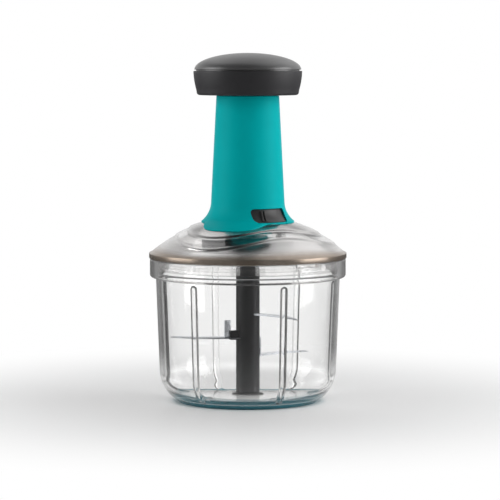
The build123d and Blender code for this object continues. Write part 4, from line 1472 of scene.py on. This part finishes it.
@dataclass
class Lid:
    """Smoky lid with two wavy tiers, a skirt, screw bosses and the key."""

    rim_radius: float = 62.5
    rim_z: float = 91.0
    rim_top_z: float = 94.5
    wall: float = 2.4
    outer_tier: Point = (50.7, 5.1)
    inner_tier: Point = (41.2, 4.4)
    tier_peak: float = 90.0
    riser: float = 0.6
    riser_shares: tuple[float, ...] = (0.0, 0.12, 0.3, 0.5, 0.7, 0.88, 1.0)
    rim_veil: float = 0.75
    low_veil: Point = (0.4, 0.8)
    step_veil: float = 0.6
    clear_veil: float = 0.04
    band_veil: float = 0.45
    painted_surround_start: float = 56.0
    seat_radius: float = 27.0
    seat_gap: float = 0.1
    bore: float = 14.5
    skirt_radius: float = 57.8
    skirt_wall: float = 2.4
    skirt_bottom_z: float = 83.8
    skirt_top_z: float = 90.8
    gasket_seat: float = 0.9
    gasket_z: Point = (86.2, 88.4)
    gasket_outer: float = 58.5
    gasket_gap: float = 0.05
    key_bearing: float = 39.0
    key_span: float = 18.0
    key_outer: float = 60.4
    key_depth: float = 2.2
    key_roots: Point = (0.6, 0.5)
    screw_circle: float = 20.8
    screw_bearing: float = 95.0
    screw_count: int = 3
    boss_radius: float = 3.2
    boss_bottom_z: float = 97.5
    cell: float = 1.6
    still: float = 3.0
    slack: float = 0.5
    crisp: float = 28.0

    def riser_points(self, radius: float, base: float) -> list[Point]:
        """Rounded step up to the next tier, from outside to inside.

        Args:
            radius: Middle of the step.
            base: Height above the plain slope before the step.

        Returns:
            The points of the step.
        """
        points = []
        for share in self.riser_shares:
            place = radius + self.riser * (1.0 - 2.0 * share)
            points.append((place, SLOPE.height(place) + base + SLOPE.step * ease(share, 0.0, 1.0)))
        return points

    def top_points(self) -> list[Point]:
        """Outside of the sloping top from the rim to the seat inside the handle's foot.

        Returns:
            The points of the outside.
        """

        def run(start: float, end: float, base: float) -> list[Point]:
            """Points of a tier between two radii.

            Args:
                start: Outer radius.
                end: Inner radius.
                base: Height above the plain slope.

            Returns:
                The points.
            """
            count = math.ceil((start - end) / self.cell)
            places = [start + (end - start) * index / count for index in range(1, count)]
            return [(place, SLOPE.height(place) + base) for place in places]

        outer, inner = self.outer_tier[0], self.inner_tier[0]
        points = [SLOPE.low]
        points += run(SLOPE.low[0], outer + self.riser, 0.0)
        points += self.riser_points(outer, 0.0)
        points += run(outer - self.riser, inner + self.riser, SLOPE.step)
        points += self.riser_points(inner, SLOPE.step)
        points += run(inner - self.riser, self.seat_radius, 2.0 * SLOPE.step)
        points.append((self.seat_radius, SLOPE.top(self.seat_radius)))
        return points

    def outline(self) -> list[Point]:
        """Closed half section of the lid.

        Returns:
            The points of the section.
        """
        flat = SLOPE.high[1] + 2.0 * SLOPE.step - self.seat_gap
        under = SLOPE.high[1] - self.wall
        skirt_inner = self.skirt_radius - self.skirt_wall
        seat = self.skirt_radius - self.gasket_seat
        top = self.top_points()
        top += [(self.seat_radius, flat), (self.bore, flat), (self.bore, under)]
        rows = 8
        places = [SLOPE.high[0] + (skirt_inner - SLOPE.high[0]) * index / rows for index in range(rows + 1)]
        top += [(place, SLOPE.height(place) - self.wall) for place in places]
        skirt = rounded(
            [
                (skirt_inner, SLOPE.height(skirt_inner) - self.wall, 0.0),
                (skirt_inner, self.skirt_bottom_z, 0.7),
                (self.skirt_radius, self.skirt_bottom_z, 0.7),
                (self.skirt_radius, self.gasket_z[0], 0.0),
                (seat, self.gasket_z[0], 0.0),
                (seat, self.gasket_z[1], 0.0),
                (self.skirt_radius, self.gasket_z[1], 0.0),
                (self.skirt_radius, self.rim_z, 0.3),
                (self.rim_radius, self.rim_z, 0.5),
                (self.rim_radius, self.rim_top_z, 0.9),
                (*SLOPE.low, 0.0),
            ]
        )
        return top + skirt[1:-1]

    def wave(self, radius: float, bearing: float) -> float:
        """How far a point of the top moves outwards at a bearing.

        Args:
            radius: Distance from the axis.
            bearing: Bearing in degrees.

        Returns:
            The distance.
        """
        tide = lobes(bearing, self.tier_peak)
        stops = [
            (self.seat_radius + self.still, 0.0),
            (self.inner_tier[0], self.inner_tier[1] * tide),
            (self.outer_tier[0], self.outer_tier[1] * tide),
            (SLOPE.low[0], 0.0),
        ]
        for (start, before), (end, after) in zip(stops, stops[1:]):
            if start < radius <= end:
                return before + (after - before) * (radius - start) / (end - start)
        return 0.0

    def waved(self, point: Vector) -> Vector:
        """Place of a turned point on the waving lid.

        Args:
            point: The turned point, in metres.

        Returns:
            The place in metres.
        """
        radius, height = measured(point)
        on_slope = self.seat_radius + self.slack <= radius <= SLOPE.low[0]
        if not on_slope or height < SLOPE.height(radius) - 2.0 * self.slack:
            return point
        bearing = bearing_of(point)
        place = radius + self.wave(radius, bearing)
        return polar(place, bearing, height - SLOPE.height(radius) + SLOPE.height(place))

    def is_rim(self, point: Vector) -> bool:
        """Whether a point lies on the rim's upright face or its underside."""
        radius, height = measured(point)
        return radius > self.skirt_radius + self.slack and height <= self.rim_top_z

    def painted_surround(self, point: Vector) -> float:
        """Share of painted brown reflection on the lid at a point: fully on the rim, and fading in on the
        slope above it.

        Args:
            point: The turned point, in metres.

        Returns:
            The share of the dye.
        """
        radius, height = measured(point)
        if self.is_rim(point):
            return 1.0
        on_top = height > SLOPE.height(min(radius, SLOPE.low[0])) - self.slack
        return ease(radius, self.painted_surround_start, SLOPE.low[0]) if on_top else 0.0

    def is_skirt(self, point: Vector) -> float:
        """1 on the skirt that hangs inside the collar, and 0 elsewhere."""
        return float(point.z / MM < self.skirt_top_z)

    def veil(self, point: Vector) -> float:
        """How frosted the turned lid is at a point: clear between the tiers' steps and underneath.

        Args:
            point: The turned point, in metres.

        Returns:
            The share of the veil.
        """
        radius, height = measured(point)
        if self.is_rim(point) or radius > SLOPE.low[0]:
            return self.rim_veil
        if height < SLOPE.height(radius) - self.slack:
            return 0.0
        outer, inner = self.outer_tier[0], self.inner_tier[0]
        if abs(radius - outer) <= self.riser + 0.01 or abs(radius - inner) <= self.riser + 0.01:
            return self.step_veil
        if radius > outer:
            low, high = self.low_veil
            return low + (high - low) * ease(radius, outer, SLOPE.low[0])
        return self.clear_veil if radius > inner else self.band_veil

    def make_lid(self) -> Piece:
        """Lid with its waves, bosses and key.

        Returns:
            The lid as one closed wall.
        """
        lid = lathe("lid_shell", self.outline(), steps=240)
        # One of these marks holds the painted brown reflection on the rim.
        for name, measure in ((VEIL, self.veil), (PAINTED_SURROUND, self.painted_surround), (FAINT, self.is_skirt)):
            mark(lid, name, measure)
        reshape(lid, self.waved)
        tools = []
        under = SLOPE.high[1] - self.wall / 2.0
        for index in range(self.screw_count):
            bearing = self.screw_bearing + index * 360.0 / self.screw_count
            middle = polar(self.screw_circle, bearing, (under + self.boss_bottom_z) / 2.0)
            tools.append(prism(40, self.boss_radius, under - self.boss_bottom_z, middle))
            soften(tools[-1], width=0.3)
        turn = (self.key_bearing - self.key_span / 2.0, self.key_span)
        key_radii = (self.skirt_radius - self.key_roots[0], self.key_outer)
        key = sector("key", turn, key_radii, (self.rim_z - self.key_depth, self.rim_z + self.key_roots[1]))
        soften(key, width=0.25)
        tools.append(key)
        cut(lid, join("bosses", tools), joined=True)
        return smooth(lid, angle=self.crisp)

    def make_gasket(self) -> Piece:
        """Soft ring with rounded lips.

        Returns:
            The ring, just clear of its seat.
        """
        inner = self.skirt_radius - self.gasket_seat + self.gasket_gap
        low, high = self.gasket_z[0] + self.gasket_gap, self.gasket_z[1] - self.gasket_gap
        corners = [
            (inner, low, 0.0),
            (self.gasket_outer, low, 0.7),
            (self.gasket_outer, high, 0.7),
            (inner, high, 0.0),
        ]
        return smooth(lathe("gasket_ring", rounded(corners), steps=180))

    def build(self, shop: Workshop) -> None:
        """Make and dress the lid's pieces.

        Args:
            shop: Hands over the finished pieces.
        """
        shop.hand_over(self.make_lid(), "lid")
        shop.hand_over(self.make_gasket(), "lid_gasket")
        shop.copy_over("drive_cover", rounding=0.5)
        shop.copy_over("cover_screws", rounding=0.3)


# ---------------------------------------------------------------------------------------------
# Handle


@dataclass
class Handle:
    """Teal housing with its flared wavy foot and the lock's window."""

    top: Point = (19.8, 193.5)
    waist: Point = (23.2, 127.0)
    flare: Point = (34.6, 111.7)
    foot_radius: float = 29.4
    foot_inner: float = 27.2
    lip: float = 0.7
    lobe_bearings: Point = (339.0, 200.0)
    lobe_reach: float = 9.6
    lobe_start: float = 0.68
    brim_lift: float = 0.5
    brim_ease: Point = (2.0, 2.5)
    edge_round: float = 0.25
    run: float = 5.0
    gap: float = 0.08
    wall: float = 2.6
    bush_radius: float = 18.3
    bush_z: float = 181.0
    bush_step: float = 1.0
    window_bearing: float = 35.5
    window_size: Point = (25.4, 8.5)
    window_bottom_z: float = 114.6
    window_corner: float = 2.5
    window_depth: float = 20.0
    window_start: float = 4.0
    crisp: float = 28.0

    def skin_radius(self, height: float) -> float:
        """Radius of the flare's arc at a height below the waist.

        Args:
            height: The height.

        Returns:
            The radius.
        """
        across = self.flare[0] - self.waist[0]
        drop = self.waist[1] - self.flare[1]
        bend = (across**2 + drop**2) / (2.0 * across)
        fall = min(self.waist[1] - height, bend)
        return self.waist[0] + bend - math.sqrt(max(0.0, bend * bend - fall * fall))

    def edge_radius(self, bearing: float) -> float:
        """Radius of the foot's edge, which has two broad lobes."""
        nearest = max(math.cos(math.radians(bearing - lobe)) for lobe in self.lobe_bearings)
        return self.foot_radius + self.lobe_reach * ease(nearest, self.lobe_start, 1.0)

    def skirt(self, edge: float) -> list[Point]:
        """Skin from the waist down to the foot's edge, and back inwards under the foot.

        Args:
            edge: Radius of the foot's edge.

        Returns:
            The same number of points whatever the edge.
        """
        rows, brim_rows, under_rows, drop = 16, 8, 4, 0.05
        low = self.waist[1]
        while self.skin_radius(low) < edge and low > SLOPE.top(self.skin_radius(low)) + self.lip:
            low -= drop
        start = self.skin_radius(low)
        points = []
        for index in range(1, rows + 1):
            height = self.waist[1] - (self.waist[1] - low) * index / rows
            points.append((self.skin_radius(height), height))
        blend = self.brim_lift * ease(edge - start, 0.0, self.brim_ease[0])
        inner = start - self.brim_ease[1]
        points = [(radius, height + blend * ease(radius, inner, start)) for radius, height in points]
        for index in range(1, brim_rows + 1):
            radius = start + (edge - start) * index / brim_rows
            lift = blend * (1.0 - index / brim_rows)
            points.append((radius, max(SLOPE.top(radius) + self.lip, low if start >= edge else 0.0) + lift))
        tip = points.pop()
        tip_z = max(tip[1], SLOPE.top(edge) + self.lip)
        floor_z = SLOPE.top(edge) + self.gap
        points.append((edge - self.edge_round, tip_z))
        points.append((edge - self.edge_round * 0.3, tip_z - self.edge_round * 0.3))
        points.append((edge, tip_z - self.edge_round))
        points.append((edge, floor_z + 0.1))
        points.append((edge - 0.1, floor_z))
        for index in range(1, under_rows + 1):
            radius = edge - 0.1 + (self.foot_inner - edge + 0.1) * index / under_rows
            points.append((radius, SLOPE.top(radius) + self.gap))
        return points

    def outline(self) -> list[Point]:
        """Closed half section, with its skirt as it is away from the lobes.

        Returns:
            The points of the section.
        """
        floor_z = SLOPE.top(self.foot_inner) + self.gap
        rows = 7
        inner_rows = [floor_z + (self.waist[1] - floor_z) * index / rows for index in range(1, rows + 1)]
        inside = [
            (min(self.foot_inner, self.skin_radius(height) - self.wall), height) for height in inner_rows
        ]
        top = rounded(
            [
                (self.waist[0] - self.wall, self.waist[1], 0.0),
                (self.bush_radius - self.bush_step, self.bush_z, 0.0),
                (self.bush_radius, self.bush_z, 0.0),
                (self.bush_radius, self.top[1], 0.2),
                (*self.top, 0.7),
                (*self.waist, 0.0),
            ]
        )
        return refined(top, self.run) + self.skirt(self.foot_radius) + inside[:-1]

    def footed(self, housing: Piece) -> None:
        """Draw the turned housing's skirt out to the foot's edge at each bearing.

        Args:
            housing: The turned housing.
        """
        plain = self.skirt(self.foot_radius)
        keys = {(round(radius, 2), round(height, 2)): index for index, (radius, height) in enumerate(plain)}
        made: dict[float, list[Point]] = {}

        def drawn(point: Vector) -> Vector:
            """Place of a turned point on the foot.

            Args:
                point: The turned point, in metres.

            Returns:
                The place in metres.
            """
            radius, height = measured(point)
            index = keys.get((round(radius, 2), round(height, 2)))
            if index is None:
                return point
            bearing = round(bearing_of(point), 2)
            if bearing not in made:
                made[bearing] = self.skirt(self.edge_radius(bearing))
            return polar(made[bearing][index][0], bearing, made[bearing][index][1])

        reshape(housing, drawn)

    def window_cutter(self) -> Piece:
        """Block with rounded ends that cuts the lock's window.

        Returns:
            The block.
        """
        start = self.waist[0] - self.wall - self.window_start
        middle = (start + self.window_depth / 2.0, 0.0, self.window_bottom_z + self.window_size[1] / 2.0)
        cutter = block("window", (self.window_depth, *self.window_size), middle)
        with edited(cutter):
            bpy.ops.mesh.select_all(action="DESELECT")
            mesh = bmesh.from_edit_mesh(cutter.data)
            for edge in mesh.edges:
                ends = [vertex.co for vertex in edge.verts]
                edge.select_set(abs(ends[0].x - ends[1].x) > MM)
            bmesh.update_edit_mesh(cutter.data)
            bpy.ops.mesh.bevel(offset=self.window_corner * MM, segments=8)
        face_bearing(cutter, self.window_bearing)
        return cutter

    def make_housing(self) -> Piece:
        """Housing with its foot and window.

        Returns:
            The housing as one closed wall.
        """
        housing = lathe("handle_shell", self.outline(), steps=200)
        self.footed(housing)
        cut(housing, self.window_cutter())
        return smooth(housing, angle=self.crisp)

    def build(self, shop: Workshop) -> None:
        """Make and dress the housing and the pieces that it carries.

        Args:
            shop: Hands over the finished pieces.
        """
        shop.hand_over(self.make_housing(), "handle_housing")
        shop.copy_over("guide_bush", rounding=0.3)
        shop.copy_over("lock_slider", rounding=0.2)


# ---------------------------------------------------------------------------------------------
# Knob


@dataclass
class Knob:
    """Cup and domed cap of the knob on the plunger tube."""

    bottom_z: float = 193.8
    floor_z: float = 196.3
    cup_top_z: float = 209.0
    bottom_radius: float = 32.0
    top_radius: float = 34.3
    bulge: float = 0.5
    corner: float = 1.8
    wall: float = 2.5
    bore: float = 16.05
    cap_z: float = 209.8
    cap_radius: float = 33.7
    cap_height: float = 10.5
    cap_wall: float = 2.2
    seat_radius: float = 32.6
    skirt_bottom_z: float = 204.5
    skirt_wall: float = 1.5
    skirt_gap: float = 0.3
    skirt_step: float = 0.6
    seam: float = 0.05

    def inner_radius(self, height: float) -> float:
        """Inside radius of the cup at a height."""
        rise = (height - self.floor_z) / (self.cup_top_z - self.floor_z)
        return self.bottom_radius + rise * (self.top_radius - self.bottom_radius) - self.wall

    def make_cup(self) -> Piece:
        """Open cup with a rounded lower edge.

        Returns:
            The cup.
        """
        rows = 10
        side: list[Triple] = []
        start_z = self.bottom_z + self.corner
        for index in range(rows + 1):
            share = index / rows
            radius = self.bottom_radius + share * (self.top_radius - self.bottom_radius)
            radius += 4.0 * share * (1.0 - share) * self.bulge
            side.append((radius, start_z + share * (self.cup_top_z - start_z), 0.0))
        corners = [
            (self.bore, self.floor_z, 0.0),
            (self.bore, self.bottom_z, 0.3),
            (self.bottom_radius, self.bottom_z, self.corner),
            *side[1:-1],
            (*side[-1][:2], 0.35),
            (self.inner_radius(self.cup_top_z), self.cup_top_z, 0.3),
            (self.inner_radius(self.floor_z), self.floor_z, 0.8),
            (self.bore, self.floor_z, 0.0),
        ]
        return smooth(lathe("knob_cup_moulding", rounded(corners)[:-1], steps=180))

    def dome(self, drop: float, inset: float, steps: int) -> list[Point]:
        """Quarter ellipse from the edge to the crown.

        Args:
            drop: How much lower its crown is than the cap's.
            inset: How much smaller its radius is.
            steps: Pieces in the curve.

        Returns:
            The points of the curve.
        """
        points = []
        for index in range(steps + 1):
            angle = math.pi / 2.0 * index / steps
            radius = (self.cap_radius - inset) * math.cos(angle)
            points.append((radius, self.cap_z + (self.cap_height - drop) * math.sin(angle)))
        points[-1] = (0.0, points[-1][1])
        return points

    def make_cap(self) -> Piece:
        """Domed cap with a rounded edge over the seam.

        Returns:
            The cap.
        """
        skirt_outer = self.inner_radius(self.skirt_bottom_z) - self.skirt_gap
        skirt_inner = skirt_outer - self.skirt_wall
        outside = self.dome(drop=0.0, inset=0.0, steps=30)
        inner = self.dome(drop=self.cap_wall, inset=self.cap_wall, steps=24)
        inside = [point for point in inner if point[0] < skirt_inner]
        skirt = rounded(
            [
                (inside[0][0], inside[0][1], 0.0),
                (skirt_inner, self.cap_z - self.skirt_step, 0.0),
                (skirt_inner, self.skirt_bottom_z, 0.3),
                (skirt_outer, self.skirt_bottom_z, 0.3),
                (skirt_outer, self.cup_top_z + self.seam, 0.0),
                (self.seat_radius, self.cup_top_z + self.seam, 0.0),
                (self.seat_radius, self.cap_z, 0.0),
                (self.cap_radius, self.cap_z, 0.2),
                (*outside[1], 0.0),
            ]
        )
        outline = inside[::-1] + skirt[1:-1] + outside[1:]
        return smooth(lathe("knob_cap_moulding", outline, steps=180, closed=False))

    def build(self, shop: Workshop) -> None:
        """Make and dress the knob and the tube that carries it.

        Args:
            shop: Hands over the finished pieces.
        """
        shop.hand_over(self.make_cup(), "knob_cup")
        shop.hand_over(self.make_cap(), "knob_cap")
        shop.copy_over("plunger_tube", rounding=0.3)
        shop.copy_over("knob_screws", rounding=0.3)


@dataclass
class Works:
    """Turning pieces between the knob and the blades."""

    rounding: float = 0.2

    def build(self, shop: Workshop) -> None:
        """Dress smooth copies of the turned and moulded pieces inside.

        Args:
            shop: Hands over the finished pieces.
        """
        for node in ("output_spindle", "nut_carrier", "nut_cap", "retaining_clip"):
            shop.copy_over(node, self.rounding)
        for node in ("thrust_washer", "cross_pin"):
            shop.copy_over(node, self.rounding)
        for node in ("spiral_bar", "drive_nut", "clutch_spring"):
            shop.copy_over(node)


# ---------------------------------------------------------------------------------------------
# Studio


@dataclass
class Lamp:
    """One soft white area lamp, aimed at the middle of the chopper. Its sizes are metres."""

    name: str
    bearing: float
    distance: float
    height: float
    size: Point
    watts: float
    aim_z: float = 0.11

    def light(self) -> None:
        """Hang the lamp."""
        angle = math.radians(self.bearing)
        place = Vector((math.sin(angle) * self.distance, -math.cos(angle) * self.distance, self.height))
        deselect()
        bpy.ops.object.light_add(type="AREA", location=place)
        lamp = bpy.context.object
        lamp.name = self.name
        lamp.data.shape = "RECTANGLE"
        lamp.data.size, lamp.data.size_y = self.size
        lamp.data.energy = self.watts
        lamp.rotation_euler = (Vector((0.0, 0.0, self.aim_z)) - place).to_track_quat("-Z", "Y").to_euler()


@dataclass
class Studio:
    """Pale floor, world, soft lamps and the camera. Its sizes are metres.

    The world is white to look at and grey to light by. Mirrorings show it white at the back, grey in
    front, and dark overhead between two paler sides.
    """

    camera_place: Triple = (0.00139, -1.550, 0.2177)
    camera_dip: float = 4.497
    lens: float = 176.7
    sensor: float = 36.0
    clip: Point = (0.01, 100.0)
    floor_radius: float = 30.0
    floor_colour: Triple = (0.90, 0.90, 0.90)
    fade: Point = (0.06, 0.30)
    ambient: float = 0.25
    mirrored_floor: float = 0.15
    mirrored_room: float = 0.16
    backdrop: Point = (-0.2, 0.7)
    overhead: Point = (0.04, 0.72)
    overhead_gap: Point = (0.05, 0.36)
    overhead_rise: Point = (0.25, 0.6)
    sky_rise: Point = (0.45, 0.85)
    sky_top: float = 0.6

    def lamps(self) -> list[Lamp]:
        """Every lamp of the studio.

        Returns:
            The lamps.
        """
        return [
            Lamp("left_softbox", -84.0, 1.1, 0.35, (0.8, 1.1), 7.6),
            Lamp("right_softbox", 82.0, 1.1, 0.35, (0.8, 1.1), 10.8),
            Lamp("top_softbox", 150.0, 0.8, 1.4, (2.4, 1.6), 8.0),
        ]

    def camera(self) -> None:
        """Set up the camera."""
        bpy.ops.object.camera_add(location=self.camera_place)
        camera = bpy.context.object
        camera.rotation_euler = (math.radians(90.0 - self.camera_dip), 0.0, 0.0)
        camera.data.sensor_width = self.sensor
        camera.data.lens = self.lens
        camera.data.clip_start, camera.data.clip_end = self.clip
        bpy.context.scene.camera = camera

    def world(self) -> None:
        """Make the world that the class describes."""
        world = bpy.data.worlds.new("studio_world")
        world.use_nodes = True
        bench = Bench(world.node_tree)
        lit = world.node_tree.nodes["Background"]
        bench.feed(lit.inputs["Color"], WHITE)
        bench.feed(lit.inputs["Strength"], self.ambient)
        parts = bench.add("ShaderNodeSeparateXYZ")
        bench.feed(parts.inputs[0], bench.add("ShaderNodeTexCoord").outputs["Generated"])
        across, along, up = parts.outputs
        back = bench.mapped(along, self.backdrop, (self.mirrored_room, 1.0))
        strips = bench.mapped(bench.calc("ABSOLUTE", across), self.overhead_gap, self.overhead)
        ceiling = bench.blend(bench.mapped(up, self.overhead_rise, (0.0, 1.0)), 1.0, strips)
        sky = bench.mapped(up, self.sky_rise, (1.0, self.sky_top))
        strength = bench.blend(bench.direct(), bench.calc("MULTIPLY", back, ceiling), sky)
        shown = bench.wire("ShaderNodeBackground", {"Color": WHITE, "Strength": strength})
        mixed = bench.wire("ShaderNodeMixShader", {0: bench.seen(), 1: lit.outputs[0], 2: shown})
        bench.feed(world.node_tree.nodes["World Output"].inputs["Surface"], mixed)
        bpy.context.scene.world = world

    def floor_material(self) -> bpy.types.Material:
        """Pale floor that fades to white away from the chopper, and keeps its shadow near it.

        Returns:
            The material.
        """
        recipe = Recipe("pale floor")
        recipe.mottle(self.floor_colour, (0.985, 1.0), scale=0.4, detail=4.0)
        recipe.set(Roughness=0.5, Specular_IOR_Level=0.25)
        away = recipe.wire("ShaderNodeVectorMath", {0: recipe.object_place()}, "Value", operation="LENGTH")
        share = recipe.calc("MULTIPLY", recipe.seen(), recipe.mapped(away, self.fade, (0.0, 1.0)))
        strength = recipe.mapped(recipe.direct(), (0.0, 1.0), (self.mirrored_floor, 1.0))
        recipe.cover(share, recipe.wire("ShaderNodeEmission", {"Strength": strength}))
        return recipe.material

    def build(self) -> None:
        """Set up everything round the chopper."""
        deselect()
        self.camera()
        self.world()
        for lamp in self.lamps():
            lamp.light()
        deselect()
        bpy.ops.mesh.primitive_circle_add(vertices=96, radius=self.floor_radius, fill_type="NGON")
        floor = added("floor")
        floor.data.materials.append(self.floor_material())
        bpy.context.scene.view_settings.view_transform = "Standard"
        LOG.info("studio ready")


def main() -> None:
    """Build the dressed chopper in its studio."""
    logging.basicConfig(level=logging.INFO, format="%(name)s: %(message)s")
    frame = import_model()
    shop = Workshop(frame)
    Studio().build()
    for unit in (Bowl(), BladeUnit(), Lid(), Handle(), Knob(), Works()):
        unit.build(shop)
    shop.dress_nodes()


if __name__ == "__main__":
    main()
